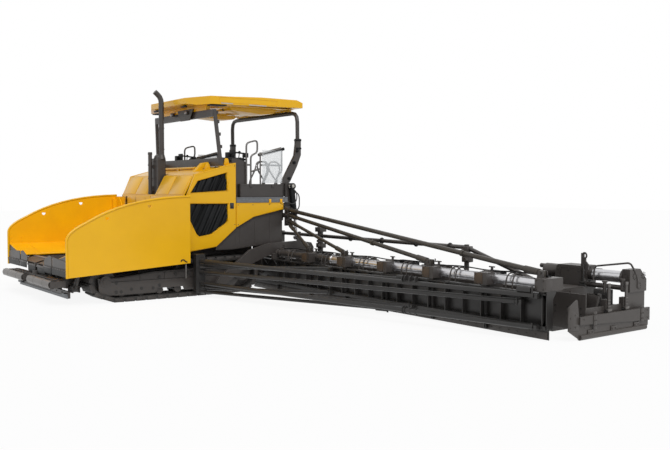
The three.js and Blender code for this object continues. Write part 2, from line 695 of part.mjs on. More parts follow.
// ---- canopy -------------------------------------------------------------------------------
const portal = () => {
  const half = portalPlate / 2;
  const { x, y } = portalFoot;
  const legs = [-1, 1].map((side) => rod(
    [side * x, y, portalLow + 10], [side * portalHead.x, portalHead.y, portalTop - 20], portalTube, 10));
  return join(
    box(-portalHead.x, portalHead.x, portalHead.y - half, portalHead.y + half, portalTop - portalBeam, portalTop),
    box(-x - 25, x + 25, y - half, y + half, portalLow, portalLow + portalSill),
    ...legs);
};

const rearHoop = () => {
  const bracket = plateX([
    [3442, deckTop + seat], [deckRear, deckTop + seat], [deckRear, deckTop + 130], [3630, 2050], [3790, 2343], [3885, 2570],
    [3885, 2890], [3780, 2890], [3775, 2780], [3745, 2560], [3450, 2050], [3442, 1950],
  ], hoopHalf - hoopPlate, hoopHalf + hoopPlate);
  const foot = 2850;
  const hoop = bentTube([[-hoopHalf, hoopY + 5, foot], [-hoopHalf, hoopY, hoopZ], [hoopHalf, hoopY, hoopZ],
    [hoopHalf, hoopY + 5, foot]], hoopRadius, 180, 10);
  return join(bracket, toSolid(mirrored(geometryOf(bracket))), hoop);
};

const roof = () => {
  const ceiling = roofTop - 80;
  const plan = plateZ([[-roofNoseHalf, roofNose], [roofNoseHalf, roofNose], [roofHalf, roofFront], [roofHalf, roofRear],
    [-roofHalf, roofRear], [-roofHalf, roofFront]], roofRim - 100, roofTop + 10);
  const section = plateX([[roofNose - 5, roofRim + 30], [roofNose + 112, roofRim - 10], [roofRear + 5, roofRim + 30], [roofRear + 5, roofTop - 50],
    [roofRear - 137, roofTop], [3000, roofTop], [2300, roofTop - 28], [roofNose - 5, roofTop - 45]],
  -roofHalf - 1, roofHalf + 1);
  const recess = plateZ([[-1150, 2250], [1150, 2250], [1150, 3780], [-1150, 3780]], roofRim - 100, ceiling);
  const cross = box(-1160, 1160, 2940, 3060, ceiling - 60, ceiling + 10);
  const duct = box(-150, 150, 3030, 3370, roofRim - 60, ceiling + 10);
  const padHalf = 1000;
  const frontPad = box(-padHalf, padHalf, portalHead.y - 45, portalHead.y + 45, portalTop + seat, roofPadTop);
  const rearPad = box(-padHalf, padHalf, hoopY - 50, hoopY + 50, hoopZ + hoopRadius + seat, roofPadTop);
  return join(cut(plan.intersect(section), recess), cross, duct, frontPad, rearPad);
};

// ---- augers and front limiting plates -----------------------------------------------------
const moduleJoint = (n) => boardEnd - n * moduleLength;
const stayModules = [0, 2, 4, 5];

const carrier = () => {
  const body = [
    rod([carrierInner, torqueTube.y, torqueTube.z], [boardEnd - 10, torqueTube.y, torqueTube.z], torqueTube.r, 10),
    box(carrierInner, carrierInner + 60, boardFront - 65, torqueTube.y, boardTop + seat, torqueTube.z),
  ];
  for (let n = 0; n < moduleCount; n += 1) {
    const x = moduleJoint(n) - (n === 0 ? carrierHalf - 10 : 0);
    const rear = n === 0 ? carrierRear : carrierFront + boxDepth;
    body.push(box(x - carrierHalf, x + carrierHalf, carrierFront, rear, carrierBottom, carrierTop));
    if (n > 0) {
      body.push(cut(
        join(box(x - 10, x + 10, 3040, 3300, augerZ, carrierBottom + 5),
          box(x - 10, x + 10, 3040, 3200, carrierBottom, carrierTop - 60),
          rod([x - 10, augerY, augerZ], [x + 10, augerY, augerZ], 90, 8)),
        rod([x - 20, augerY, augerZ], [x + 20, augerY, augerZ], augerShaft + 10, 8)));
    }
    body.push(box(x - 40, x + 40, boardFront - 65, boardFront - 5, boardTop + seat, carrierBottom + 5));
  }
  for (const n of stayModules) {
    const x = moduleJoint(n) - stayInset;
    body.push(box(x - 30, x + 30, torqueTube.y - 30, torqueTube.y + 30, torqueTube.z, stayFootZ));
  }
  return join(...body);
};

// the k-th rib of the n-th length of plate
const ribAt = (n, k) => moduleJoint(n) - 51 - k * moduleLength * 0.33;

const board = () => {
  const plate = box(frameHalf + 30, boardEnd, boardFront, boardFront + boardThick, boardClear, boardTop);
  const ribs = [];
  for (let n = 0; n < moduleCount; n += 1) {
    for (let k = 0; k < 3; k += 1) {
      const x = ribAt(n, k);
      ribs.push(plateX([[boardFront - 75, 160], [boardFront + 1, 160], [boardFront + 1, boardTop],
        [boardFront - 75, boardTop]], x - 8, x + 8));
    }
  }
  const rail = box(1400, boardEnd, boardFront - 90, boardFront + 1, 150, 190);
  const topRail = box(1400, boardEnd, boardFront - 75, boardFront + 1, boardTop - 20, boardTop);
  const endFlange = plateX([[boardFront - 60, 150], [boardFront + 60, 150], [boardFront + 60, 520],
    [boardFront + 130, carrierBottom - seat], [boardFront - 60, carrierBottom - seat]], boardEnd, boardEnd + 14);
  return join(plate, ...ribs, rail, topRail, endFlange);
};

const auger = () => {
  const start = gearboxHalf + seat;
  const end = augerEnd;
  const body = [rod([start, augerY, augerZ], [end, augerY, augerZ], augerShaft, 8)];
  const flight = (x0, x1) => {
    const turns = turnsPerModule * (x1 - x0) / (moduleLength - 2 * hangerGap);
    const steps = Math.max(3, Math.round(turns * stepsPerTurn));
    const positions = [];
    const indices = [];
    for (let i = 0; i <= steps; i += 1) {
      const angle = (2 * Math.PI * turns * i) / steps;
      const x = x0 + ((x1 - x0 - flightThick) * i) / steps;
      for (const [radius, shift] of [[augerShaft * 0.6, 0], [augerRadius, 0], [augerRadius, flightThick],
        [augerShaft * 0.6, flightThick]]) {
        positions.push(x + shift, augerY + radius * Math.cos(angle), augerZ + radius * Math.sin(angle));
      }
    }
    for (let i = 0; i < steps; i += 1) {
      for (let k = 0; k < 4; k += 1) {
        const a = i * 4 + k;
        const b = i * 4 + ((k + 1) % 4);
        indices.push(a, b + 4, b, a, a + 4, b + 4);
      }
    }
    const last = steps * 4;
    indices.push(0, 1, 2, 0, 2, 3, last, last + 2, last + 1, last, last + 3, last + 2);
    const strip = new THREE.BufferGeometry();
    strip.setAttribute('position', new THREE.Float32BufferAttribute(positions, 3));
    strip.setIndex(indices);
    return toSolid(strip);
  };
  for (let n = 0; n < moduleCount; n += 1) {
    body.push(flight(moduleJoint(n + 1) + hangerGap, Math.min(moduleJoint(n) - hangerGap, augerEnd - 15)));
  }
  body.push(flight(gearboxHalf + hangerGap, moduleJoint(moduleCount) - hangerGap));
  return join(...body);
};

// ---- braces and stays ---------------------------------------------------------------------
const braces = () => {
  const post = box(postX - 50, postX + 50, postY - 90, postY + 90, 70, 760);
  const arm = box(trackOuter + 10, postX, postY - 60, postY + 60, 650, 750);
  const upright = box(bodySide - 2 * panelThick, trackOuter + 20, postY - 60, postY + 60, 700, 750);
  const hang = box(bodySide - 2 * panelThick - 150, bodySide - 2 * panelThick + 20, postY - 60, postY + 60, 700, 750);
  const inboard = box(frameHalf + seat, bodySide - 2 * panelThick - 140, postY - 60, postY + 60, 700, 750);
  const pipes = [];
  const run = (z0, x1, z1, seatY, r) => {
    pipes.push(rod([postX + 20, postY, z0], [x1, seatY - 42, z1], r, 8));
    pipes.push(box(x1 - 60, x1 + 60, seatY - 60, seatY, z1 - 35, z1 + 25));
  };
  const topRail = boardFront - 75 - seat;
  const lowRail = boardFront - 90 - seat;
  const plateFace = boardFront - seat;
  const highSeat = boardTop - 30;
  const ends = [boardEnd - 139, boardEnd - 2439, boardEnd - 4479];   // where pipes meet the plate's rails
  run(640, ends[0], highSeat, topRail, 34);
  run(590, ends[1], highSeat, topRail, 30);
  run(530, ends[2], highSeat, topRail, 30);
  run(445, ribAt(0, 1), 470, topRail, 34);
  run(250, ends[0], 175, lowRail, 34);
  run(190, ends[1], 175, lowRail, 30);
  run(150, ends[2], 175, lowRail, 30);
  run(98, boardEnd - 2924, 62, plateFace, 28);
  return join(post, arm, upright, hang, inboard, ...pipes);
};

const stays = () => {
  const mast = rod([hub.x, hub.y, 1230], [hub.x, hub.y, 1545], 38, 10);
  const arm = rod([hub.x, hub.y, 1400], [bulkheadHalf - 40, bulkheadRear + 50, 1400], 45, 10);
  const foot = box(bulkheadHalf - 100, bulkheadHalf - 5, bulkheadRear + seat, bulkheadRear + 60, 1300, 1500);
  const tops = [[1505, 36], [1405, 34], [1300, 30], [1250, 28]];
  const pipes = stayModules.map((n, i) => {
    const [z, r] = tops[i];
    const x = moduleJoint(n) - stayInset;
    return join(
      rod([hub.x, hub.y, z], [x, torqueTube.y, stayFootZ + 40], r, 8),
      box(x - 30, x + 30, torqueTube.y - 30, torqueTube.y + 30, stayFootZ + seat, stayFootZ + 70));
  });
  return join(mast, arm, foot, ...pipes);
};

// ---- screed -------------------------------------------------------------------------------
const towArm = () => {
  const outline = [
    [towY - 110, towZ - 20], [towY - 40, towZ + 95], [2524, 779], [2937, 890], [3620, 913], [3905, 869], [3960, 780],
    [3960, screedTop + seat], [3590, screedTop + seat], [3520, 661], [2936, 664], [2522, 508], [2087, 233],
    [towY + 40, towZ - 95], [towY - 60, towZ - 90],
  ];
  const web = plateX(outline, armX - armThick / 2, armX + armThick / 2);
  const [eyeY, eyeZ] = lift.low;
  const earX = lift.x + lift.eye + fit;
  const ear = box(earX, earX + 22, eyeY - 45, eyeY + 45, 820, eyeZ + 50);
  const earRoot = box(earX + 10, armX + 5, eyeY - 45, eyeY + 45, 800, 890);
  return join(web, ear, earRoot);
};

const screedBody = [
  [screedFront, 90], [screedFront + 60, 0], [screedRear, 0], [screedRear, screedTop], [screedFront, screedTop],
];
const walkway = (x0, x1) => box(x0, x1, screedRear - 5, walkRear, walkTop - walkThick, walkTop);
const centreScreed = () => {
  const half = screedInner - seat;
  const posts = [-1, 1].map((side) => {
    const centre = side * (trussInner - 40);
    return box(centre - 40, centre + 40, trussY - 45, trussY + 45, screedTop - 5, trussZ + 50);
  });
  return join(plateX(screedBody, -half, half), walkway(-half, half), ...posts);
};

// a round hole that a tube of the sliding end runs in
const slideBore = ({ y, z, engage }, radius, mouth) =>
  rod([mouth - engage - endTravel - endStop, y, z], [mouth + 5, y, z], radius + fit, 16);

const screedExtension = () => {
  const housingFoot = endHousing - 560;
  const housing = plateY([
    [housingFoot, walkTop - 5], [housingFoot + 94, clamp.top - 28], [housingFoot + 130, clamp.top],
    [endHousing, clamp.top], [endHousing, walkTop - 5],
  ], 4400, 4690);
  const sleeveStart = endHousing - endTube.engage - endTravel - 2 * endStop;
  const sleeve = rod([sleeveStart, endTube.y, endTube.z], [housingFoot + 100, endTube.y, endTube.z], endTube.r + 25, 12);
  const sleeveLeg = box(sleeveStart, sleeveStart + 25, endTube.y - 60, endTube.y + 60, walkTop - 5, endTube.z - 20);
  const liftingEye = box(endHousing - 45, endHousing, 4400, 4425, clamp.top - 30, 1010);
  const { start, end, y, z, r } = slideCylinder;
  const barrel = rod([start, y, z], [end, y, z], r, 12);
  const saddles = [start + 60, housingFoot + 200].map((x) => box(x, x + 30, y - 25, y + 25, walkTop - 5, z));
  const solid = join(plateX(screedBody, screedInner, screedEnd), walkway(screedInner, walkEnd),
    housing, sleeve, sleeveLeg, liftingEye, barrel, ...saddles);
  const bored = cut(solid,
    slideBore(endTube, endTube.r, endHousing),
    slideBore(guideTube, guideTube.r, endHousing),
    slideBore(slideCylinder, slideCylinder.rod, end));
  const spindle = 1665;
  const truss = join(
    box(trussInner + seat, trussInner + 20, trussY - 40, trussY + 40, trussZ - 45, trussZ + 45),
    rod([trussInner + 10, trussY, trussZ], [trussPost, trussY, trussZ], trussTube, 8),
    rod([trussPost, trussY, screedTop - 5], [trussPost, trussY, trussZ + 40], 40, 10),
    rod([trussPost, trussY, trussZ], [housingFoot + 90, trussY, screedTop - 10], trussTube, 8),
    rod([spindle, trussY, screedTop - 5], [spindle, trussY, 1180], 55, 10));
  return join(bored, truss);
};

const endUnit = () => {
  const sole = box(endBody.inner, clamp.outer - 40, endBody.front, endBody.rear, 0, endBody.top);
  const block = plateX([
    [clamp.front, clamp.bottom], [clamp.rear, clamp.bottom], [clamp.rear, clamp.top - 146],
    [clamp.rear - 144, clamp.top], [clamp.front, clamp.top],
  ], clamp.inner, clamp.outer);
  const [inner, outer] = [clamp.outer - 62, clamp.outer - 27];
  const web = box(inner, outer, clamp.front, clamp.rear, 60, clamp.bottom + 5);
  const frame = box(inner, outer, frontPlate.y, clamp.front + 20, 60, 380);
  const front = box(screedEnd - 150, outer, frontPlate.y, frontPlate.y + frontPlate.thick, 90, screedTop);
  const shoes = gatePosts.map((y) => box(inner, gateInner - fit, y - 45, y + 45, 330, 470));
  const tubeOf = ({ y, z, engage }, radius, mouth, end, sides) =>
    rod([mouth - engage, y, z], [end, y, z], radius, sides);
  return join(sole, block, web, frame, front, ...shoes,
    tubeOf(endTube, endTube.r, endHousing, clamp.inner + 10, 16),
    tubeOf(guideTube, guideTube.r, endHousing, clamp.inner + 10, 16),
    tubeOf(slideCylinder, slideCylinder.rod, slideCylinder.end, clamp.inner + 10, 16));
};

const gateInner = gateX - gateBand - gateSheet;
const endGate = () => {
  const sheet = plateX([
    [3125, 136], [3348, 8], [4785, 8], [gateRear, 60], [gateRear, 300], [3330, 300], [3295, 517], [3278, 517],
    [3119, 430],
  ], gateInner, gateX - gateBand);
  const band = plateX([[3320, 203], [gateRear, 126], [gateRear, 302], [3320, 302]], gateX - gateBand - 2, gateX);
  const skid = rod([gateX - 30, 3350, 36], [gateX - 30, 4780, 36], 36, 12);
  const posts = gatePosts.map((y) => box(gateInner, gateX - gateBand, y - 25, y + 25, 290, 680));
  return join(sheet, band, skid, ...posts);
};

// ---- screed lift cylinders ----------------------------------------------------------------
const alongLift = (top, low, t) => {
  const [y, z] = mix(top, low, t);
  return [lift.x, y, z];
};
alongLift.eye = ([y, z], half) => [[lift.x - half, y, z], [lift.x + half, y, z]];

single('main_frame', mainFrame(), dark);
pair('track', track(), rubberBlack);
pair('track_frame', trackFrame(), dark);
pair('hopper_wing', hopperWing(), hopperYellow);
pair('wing_cylinder_barrel',
  barrelOf(wingCylinder.low, wingCylinder.high, acrossWing, wingCylinder.barrel, 42, 24, wingCylinder.eye, 48), dark);
pair('wing_cylinder_rod',
  rodOf(wingCylinder.low, wingCylinder.high, acrossWing, wingCylinder.rodStart, 24, wingCylinder.eye, 36), chrome);
pair('slat_conveyor', conveyor(), steel);
single('push_beam', pushBeam(), dark);
pair('push_roller', pushRoller(), steel);
single('engine_block', engineBlock(), dark);
single('engine_hood', hood(), yellow);
pair('side_door', door(), yellow);
pair('door_grille', doorGrille(), black);
pair('side_panel', sidePanel(), yellow);
pair('lower_side_panel', lowerPanel(), dark);
single('exhaust_stack', exhaust(), dark);
single('platform_deck', platform(), steel);
pair('side_box', sideBox(), dark);
pair('control_console', consoleBox(), dark);
pair('handrail', handrail(), steel);
single('canopy_front_portal', portal(), dark);
single('canopy_rear_hoop', rearHoop(), dark);
single('canopy_roof', roof(), yellow);
pair('auger_carrier', carrier(), dark);
pair('front_limit_board', board(), dark);
pair('auger', auger(), steel);
pair('board_brace', braces(), dark);
pair('upper_stay', stays(), dark);
pair('tow_arm', towArm(), dark);
single('screed_centre', centreScreed(), dark);
pair('screed_extension', screedExtension(), dark);
pair('screed_end_unit', endUnit(), dark);
pair('end_gate', endGate(), dark);
pair('lift_cylinder_barrel', barrelOf(lift.top, lift.low, alongLift, lift.barrel, 52, 28, lift.eye, 60), black);
pair('lift_cylinder_rod', rodOf(lift.top, lift.low, alongLift, lift.rodStart, 28, lift.eye, 45), chrome);

const front = rollerY - rollerRadius;
const rear = gateRear;
paver.position.y = -(front + rear) / 2;

export default paver;
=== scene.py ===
"""Wide tracked asphalt paver: finishes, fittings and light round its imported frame.

Shapes are drawn in millimetres, +X to the machine's left, +Y to its rear, +Z up, with y = 0
where the tracks first touch the ground. piece() turns them to metres in the frame's own axes.
"""
import math

import bmesh
import bpy
from mathutils import Matrix, Vector


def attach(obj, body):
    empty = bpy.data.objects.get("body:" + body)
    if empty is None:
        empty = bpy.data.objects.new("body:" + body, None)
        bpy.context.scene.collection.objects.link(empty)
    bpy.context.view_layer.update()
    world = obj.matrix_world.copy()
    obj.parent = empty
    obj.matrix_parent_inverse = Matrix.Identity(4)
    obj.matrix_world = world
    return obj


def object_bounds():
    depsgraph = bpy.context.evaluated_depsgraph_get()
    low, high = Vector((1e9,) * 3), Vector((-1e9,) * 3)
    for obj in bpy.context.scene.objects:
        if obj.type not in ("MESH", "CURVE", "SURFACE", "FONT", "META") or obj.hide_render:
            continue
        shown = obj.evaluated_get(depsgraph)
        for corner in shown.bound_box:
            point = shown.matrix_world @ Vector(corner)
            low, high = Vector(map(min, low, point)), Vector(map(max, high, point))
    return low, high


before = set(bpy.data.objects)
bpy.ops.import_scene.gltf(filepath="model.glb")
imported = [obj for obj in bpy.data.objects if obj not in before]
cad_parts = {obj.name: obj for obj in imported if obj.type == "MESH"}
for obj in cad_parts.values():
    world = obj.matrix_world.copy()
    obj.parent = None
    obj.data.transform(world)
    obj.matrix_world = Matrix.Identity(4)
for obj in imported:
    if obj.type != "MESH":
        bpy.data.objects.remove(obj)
cad_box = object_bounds()
FRONT_ROLLERS = -1078             # foremost point of the machine, in the drawing's millimetres
SHIFT = cad_box[0].y - FRONT_ROLLERS / 1000
TO_FRAME = Matrix.Translation((0, SHIFT, 0)) @ Matrix.Scale(0.001, 4)

# ---- camera ---------------------------------------------------------------------------------
camera = bpy.data.objects.new("camera", bpy.data.cameras.new("camera"))
bpy.context.scene.collection.objects.link(camera)
camera.data.lens = 43.86
camera.data.sensor_width = 36
camera.data.clip_end = 500
camera.location = (14.608, SHIFT - 5.212, 1.909)
TURN, DIP = math.radians(53.24), math.radians(2.54)
LOOK = Vector((-math.sin(TURN) * math.cos(DIP), math.cos(TURN) * math.cos(DIP), -math.sin(DIP)))
camera.rotation_mode = "QUATERNION"
camera.rotation_quaternion = LOOK.to_track_quat("-Z", "Y")
bpy.context.scene.camera = camera


# ---- materials ------------------------------------------------------------------------------
def linear(hexadecimal):
    """An sRGB hex colour as linear red, green, blue and alpha."""
    channels = [int(hexadecimal[i:i + 2], 16) / 255 for i in (1, 3, 5)]
    return [c / 12.92 if c <= 0.04045 else ((c + 0.055) / 1.055) ** 2.4 for c in channels] + [1.0]


def add(tree, kind, sockets=None, **settings):
    """Adds one node with its settings; sockets holds values, or outputs of other nodes to link."""
    node = tree.nodes.new(kind)
    for name, value in settings.items():
        setattr(node, name, value)
    for name, value in (sockets or {}).items():
        if isinstance(value, bpy.types.NodeSocket):
            tree.links.new(value, node.inputs[name])
        else:
            node.inputs[name].default_value = value
    return node


def finish_of(name, colour, varied, roughness, patch, grain, grain_depth, dust=None, **shader):
    """A finish with its own mottle, grain and settled dust.

    colour and varied are the two ends of its colour; patch is the size of the mottle and grain
    that of the surface grain, in metres; dust is the colour that gathers near the ground."""
    material = bpy.data.materials.new(name)
    material.use_nodes = True
    tree = material.node_tree
    tree.nodes.clear()
    where = add(tree, "ShaderNodeTexCoord").outputs["Object"]
    mottle = add(tree, "ShaderNodeTexNoise", {"Vector": where, "Scale": 1 / patch, "Detail": 5.0,
                                              "Roughness": 0.6})
    spread = add(tree, "ShaderNodeValToRGB", {"Fac": mottle.outputs["Fac"]})
    spread.color_ramp.elements[0].position = 0.34
    spread.color_ramp.elements[1].position = 0.66
    spread.color_ramp.elements[0].color = linear(colour)
    spread.color_ramp.elements[1].color = linear(varied)
    paint = spread.outputs["Color"]
    if dust:
        height = add(tree, "ShaderNodeSeparateXYZ", {"Vector": where})
        streak = add(tree, "ShaderNodeTexNoise", {"Vector": where, "Scale": 9.0, "Detail": 6.0,
                                                  "Roughness": 0.75})
        low = add(tree, "ShaderNodeMapRange", {"Value": height.outputs["Z"], "From Min": 0.0,
                                               "From Max": 1.1, "To Min": 0.55, "To Max": 0.0})
        settled = add(tree, "ShaderNodeMath", {0: low.outputs["Result"], 1: streak.outputs["Fac"]},
                      operation="MULTIPLY")
        mixed = add(tree, "ShaderNodeMix", {"Factor": settled.outputs["Value"], "A": paint,
                                            "B": linear(dust)}, data_type="RGBA")
        paint = mixed.outputs["Result"]
    sheen = add(tree, "ShaderNodeMapRange", {"Value": mottle.outputs["Fac"], "To Min": roughness - 0.05,
                                             "To Max": roughness + 0.07})
    fine = add(tree, "ShaderNodeTexNoise", {"Vector": where, "Scale": 1 / grain, "Detail": 3.0,
                                            "Roughness": 0.55})
    bump = add(tree, "ShaderNodeBump", {"Strength": 0.35, "Distance": grain_depth,
                                        "Height": fine.outputs["Fac"]})
    surface = add(tree, "ShaderNodeBsdfPrincipled", {
        "Base Color": paint, "Roughness": sheen.outputs["Result"], "Normal": bump.outputs["Normal"],
        **shader})
    add(tree, "ShaderNodeOutputMaterial", {"Surface": surface.outputs["BSDF"]})
    return material


# Two-pack polyurethane enamel, sprayed on sheet steel: an even warm yellow with a clear-coat shine
# and a faint orange peel of a few millimetres.
YELLOW = finish_of("yellow_enamel", "#e3ad00", "#dca600", 0.34, 0.9, 0.006, 0.0004,
                   **{"Coat Weight": 0.25, "Coat Roughness": 0.15, "IOR": 1.4})
# The same enamel on the hopper's insides and wear plate, made brighter and more orange: painted bounce light
# from the yellow walls, not a different paint.
HOPPER_BOUNCE_LIT = finish_of("hopper_enamel_painted_bounce", "#f4b400", "#ecaa00", 0.38, 0.5, 0.008, 0.0006,
                   **{"Coat Weight": 0.15, "Coat Roughness": 0.2, "IOR": 1.4})
# Satin chassis enamel over welded plate: warm dark grey, a little dusty low down.
DARK = finish_of("dark_grey_enamel", "#3e3a38", "#373331", 0.42, 0.35, 0.007, 0.0005, dust="#443f3a",
                 **{"IOR": 1.45, "Coat Weight": 0.1, "Coat Roughness": 0.3})
# The same enamel, near black, on the long board and its braces.
BLACK = finish_of("black_enamel", "#262423", "#201f1e", 0.40, 0.35, 0.007, 0.0005,
                  **{"IOR": 1.45, "Coat Weight": 0.1, "Coat Roughness": 0.3})
# Cast and rolled track steel with rubber pads: near black, coarse and dull.
TRACK = finish_of("track_rubber", "#1c1b1a", "#242220", 0.62, 0.15, 0.012, 0.0012, dust="#2c2926")
# Rolled steel shoes, darker where the road rubs them and warm grey at their ends.
SHOE = finish_of("shoe_steel", "#3f3b38", "#34302e", 0.50, 0.12, 0.010, 0.0008, **{"Metallic": 0.2})
# Smooth turned tube of the push rollers, brownish grey with a dull shine.
ROLLER = finish_of("roller_steel", "#625d59", "#5a5551", 0.34, 0.6, 0.010, 0.0002, **{"Metallic": 0.35})
# Chassis enamel of the long stays, a browner batch than the rest.
STAY = finish_of("brown_grey_enamel", "#3c3731", "#35312c", 0.42, 0.4, 0.007, 0.0005, **{"IOR": 1.45})
# Galvanised tread plate and rails: bluish grey zinc with its soft spangle.
ZINC = finish_of("galvanised_steel", "#73767a", "#66696c", 0.42, 0.05, 0.02, 0.0005,
                 **{"Metallic": 0.35})
# Turned and hard-chromed bar: bright, with a faint lengthwise unevenness.
CHROME = finish_of("polished_steel", "#d2d2d4", "#c8c8cb", 0.30, 0.25, 0.010, 0.00004,
                   **{"Metallic": 1.0})
# Worn bright steel on wear faces, rollers and auger flights, rubbed by hot mix.
WORN = finish_of("worn_steel", "#777573", "#5f5b58", 0.40, 0.08, 0.01, 0.0006, **{"Metallic": 0.75})
# Injection-moulded black ABS with a fine spark-eroded grain.
PLASTIC = finish_of("black_plastic", "#121314", "#17181a", 0.50, 0.2, 0.004, 0.0003,
                    **{"Specular IOR Level": 0.22})
# Cloth-reinforced rubber sheet of the hopper's front apron.
RUBBER = finish_of("rubber_sheet", "#262727", "#1e1e1e", 0.55, 0.25, 0.009, 0.0006)
# Powder-coated thin tube of the handrails.
RAIL = finish_of("rail_grey_powder", "#5b5856", "#63605e", 0.45, 0.2, 0.005, 0.0003)
# Wear plate with a thin brown mill scale.
SCALE = finish_of("brown_primer", "#4b3b2a", "#403224", 0.55, 0.12, 0.007, 0.0004)
# Blue-black enamel of the door window frames and latches.
NAVY = finish_of("blue_black_enamel", "#1f232b", "#1a1d24", 0.36, 0.3, 0.006, 0.0004, **{"Coat Weight": 0.2})
# Cream and light grey enamel of small tags, lenses and covers.
PALE = finish_of("pale_grey_enamel", "#b9b6ae", "#aca9a2", 0.40, 0.2, 0.006, 0.0004)
# Thin smoke-tinted acrylic of the stand's side screens: mostly clear, its near-white colour a painted sheen
# of reflected light.
SCREEN = finish_of("smoked_acrylic_painted_sheen", "#e3e6e8", "#dde1e3", 0.45, 0.5, 0.05, 0.00002,
                   **{"Alpha": 0.40, "IOR": 1.2})
# Amber lens of the working lamps.
AMBER = finish_of("amber_lens", "#553f30", "#4b382b", 0.22, 0.05, 0.01, 0.0004, **{"Coat Weight": 0.4})

CAD_FINISH = {
    "yellow": (YELLOW, ["engine_hood", "side_door", "side_panel", "canopy_roof"]),
    # The wing's inside takes the brighter enamel copy, with its painted bounce light.
    "hopper": (HOPPER_BOUNCE_LIT, ["hopper_wing"]),
    "dark": (DARK, ["main_frame", "track_frame", "push_beam", "wing_cylinder_barrel", "engine_block",
                    "lower_side_panel", "exhaust_stack", "side_box", "control_console",
                    "canopy_front_portal", "canopy_rear_hoop", "auger_carrier", "tow_arm",
                    "screed_centre", "screed_extension", "screed_end_unit", "end_gate"]),
    "black": (BLACK, ["front_limit_board", "board_brace"]),
    "track": (TRACK, ["track"]),
    "zinc": (ZINC, ["platform_deck"]),
    "rail": (RAIL, ["handrail"]),
    "worn": (WORN, ["slat_conveyor", "auger"]),
    "roller": (ROLLER, ["push_roller"]),
    "stay": (STAY, ["upper_stay"]),
    "plastic": (PLASTIC, ["door_grille", "lift_cylinder_barrel"]),
    "chrome": (CHROME, ["wing_cylinder_rod", "lift_cylinder_rod"]),
}
FINISH_OF_NODE = {node: material for material, nodes in CAD_FINISH.values() for node in nodes}

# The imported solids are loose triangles: this joins them and lets their round faces shade smoothly.
joined = bpy.data.node_groups.new("join_and_smooth", "GeometryNodeTree")
joined.interface.new_socket("Geometry", in_out="INPUT", socket_type="NodeSocketGeometry")
joined.interface.new_socket("Geometry", in_out="OUTPUT", socket_type="NodeSocketGeometry")
loose = add(joined, "NodeGroupInput")
welded = add(joined, "GeometryNodeMergeByDistance",
             {"Geometry": loose.outputs["Geometry"], "Distance": 0.00002})
smooth = add(joined, "GeometryNodeSetShadeSmooth", {"Geometry": welded.outputs["Geometry"]})
add(joined, "NodeGroupOutput", {"Geometry": smooth.outputs["Geometry"]})

EDGE_ROUND = {"engine_hood": 0.012, "side_door": 0.010, "side_panel": 0.010, "canopy_roof": 0.030,
              "hopper_wing": 0.004}
for node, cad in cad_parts.items():
    kind = node.removesuffix("_left").removesuffix("_right")
    cad.material_slots[0].link = "OBJECT"
    cad.material_slots[0].material = FINISH_OF_NODE[kind]
    cad.modifiers.new("join", "NODES").node_group = joined
    rounded = cad.modifiers.new("round_edges", "BEVEL")
    rounded.width = EDGE_ROUND.get(kind, 0.004)
    rounded.segments = 2
    rounded.limit_method = "ANGLE"
    rounded.angle_limit = math.radians(50)
    cad.modifiers.new("level_faces", "WEIGHTED_NORMAL")

# ---- hydraulic hoses of the lifting cylinders ------------------------------------------------
HOSE_THICKNESS = 0.022


def hose(name, route, body, mirror):
    """A rubber hose drawn through listed points in millimetres."""
    curve = bpy.data.curves.new(name, "CURVE")
    curve.dimensions = "3D"
    curve.bevel_depth = HOSE_THICKNESS / 2
    curve.bevel_resolution = 3
    curve.resolution_u = 8
    curve.use_fill_caps = True
    spline = curve.splines.new("BEZIER")
    spline.bezier_points.add(len(route) - 1)
    for point, (x, y, z) in zip(spline.bezier_points, route):
        point.co = TO_FRAME @ Vector((-x if mirror else x, y, z))
        point.handle_left_type = point.handle_right_type = "AUTO"
    curve.materials.append(RUBBER)
    made = bpy.data.objects.new(name, curve)
    bpy.context.scene.collection.objects.link(made)
    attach(made, body)
    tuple(spline.bezier_points[0].co)


# From the barrel's upper port down to its lower one.
LIFT_LOOP = [(1420, 3684, 1849), (1424, 3748, 1790), (1428, 3764, 1650), (1424, 3752, 1540),
             (1420, 3724, 1501)]
# From the stand's rear edge, round the outside of the barrel, to its cap.
FEED_LOOP = [(1404, 3486, 1700), (1446, 3500, 1652), (1492, 3524, 1622), (1522, 3570, 1624),
             (1530, 3622, 1686), (1526, 3640, 1770), (1510, 3630, 1850), (1464, 3600, 1900)]
for side in ("left", "right"):
    hose(f"lift_hose_{side}", LIFT_LOOP, f"lift_barrel_{side}", side == "right")
    hose(f"feed_hose_{side}", FEED_LOOP, "root", side == "right")


# ---- drawing helpers, in millimetres ---------------------------------------------------------
AXES = {"x": lambda u, v, w: (w, u, v), "y": lambda u, v, w: (u, w, v), "z": lambda u, v, w: (u, v, w)}


def across(side, inner, outer):
    """The span between two distances from the machine's middle: side is 1 on the left, -1 on the right."""
    return tuple(sorted((side * inner, side * outer)))


def block(bm, x, y, z, chamfer=0.0):
    """A plate or bar between two values on each axis."""
    made = bmesh.ops.create_cube(bm, size=1)["verts"]
    bmesh.ops.scale(bm, vec=(x[1] - x[0], y[1] - y[0], z[1] - z[0]), verts=made)
    bmesh.ops.translate(bm, vec=((x[0] + x[1]) / 2, (y[0] + y[1]) / 2, (z[0] + z[1]) / 2), verts=made)
    if chamfer:
        edges = list({edge for vert in made for edge in vert.link_edges})
        bmesh.ops.bevel(bm, geom=edges, offset=chamfer, affect="EDGES", segments=2, profile=0.5, material=-1)


def bar(bm, start, end, radius, sides=18, end_radius=None):
    """A round bar, pipe or cone between two points."""
    start, end = Vector(start), Vector(end)
    turn = (end - start).to_track_quat("Z", "Y").to_matrix().to_4x4()
    bmesh.ops.create_cone(bm, cap_ends=True, segments=sides, radius1=radius,
                          radius2=radius if end_radius is None else end_radius,
                          depth=(end - start).length, matrix=Matrix.Translation((start + end) / 2) @ turn)


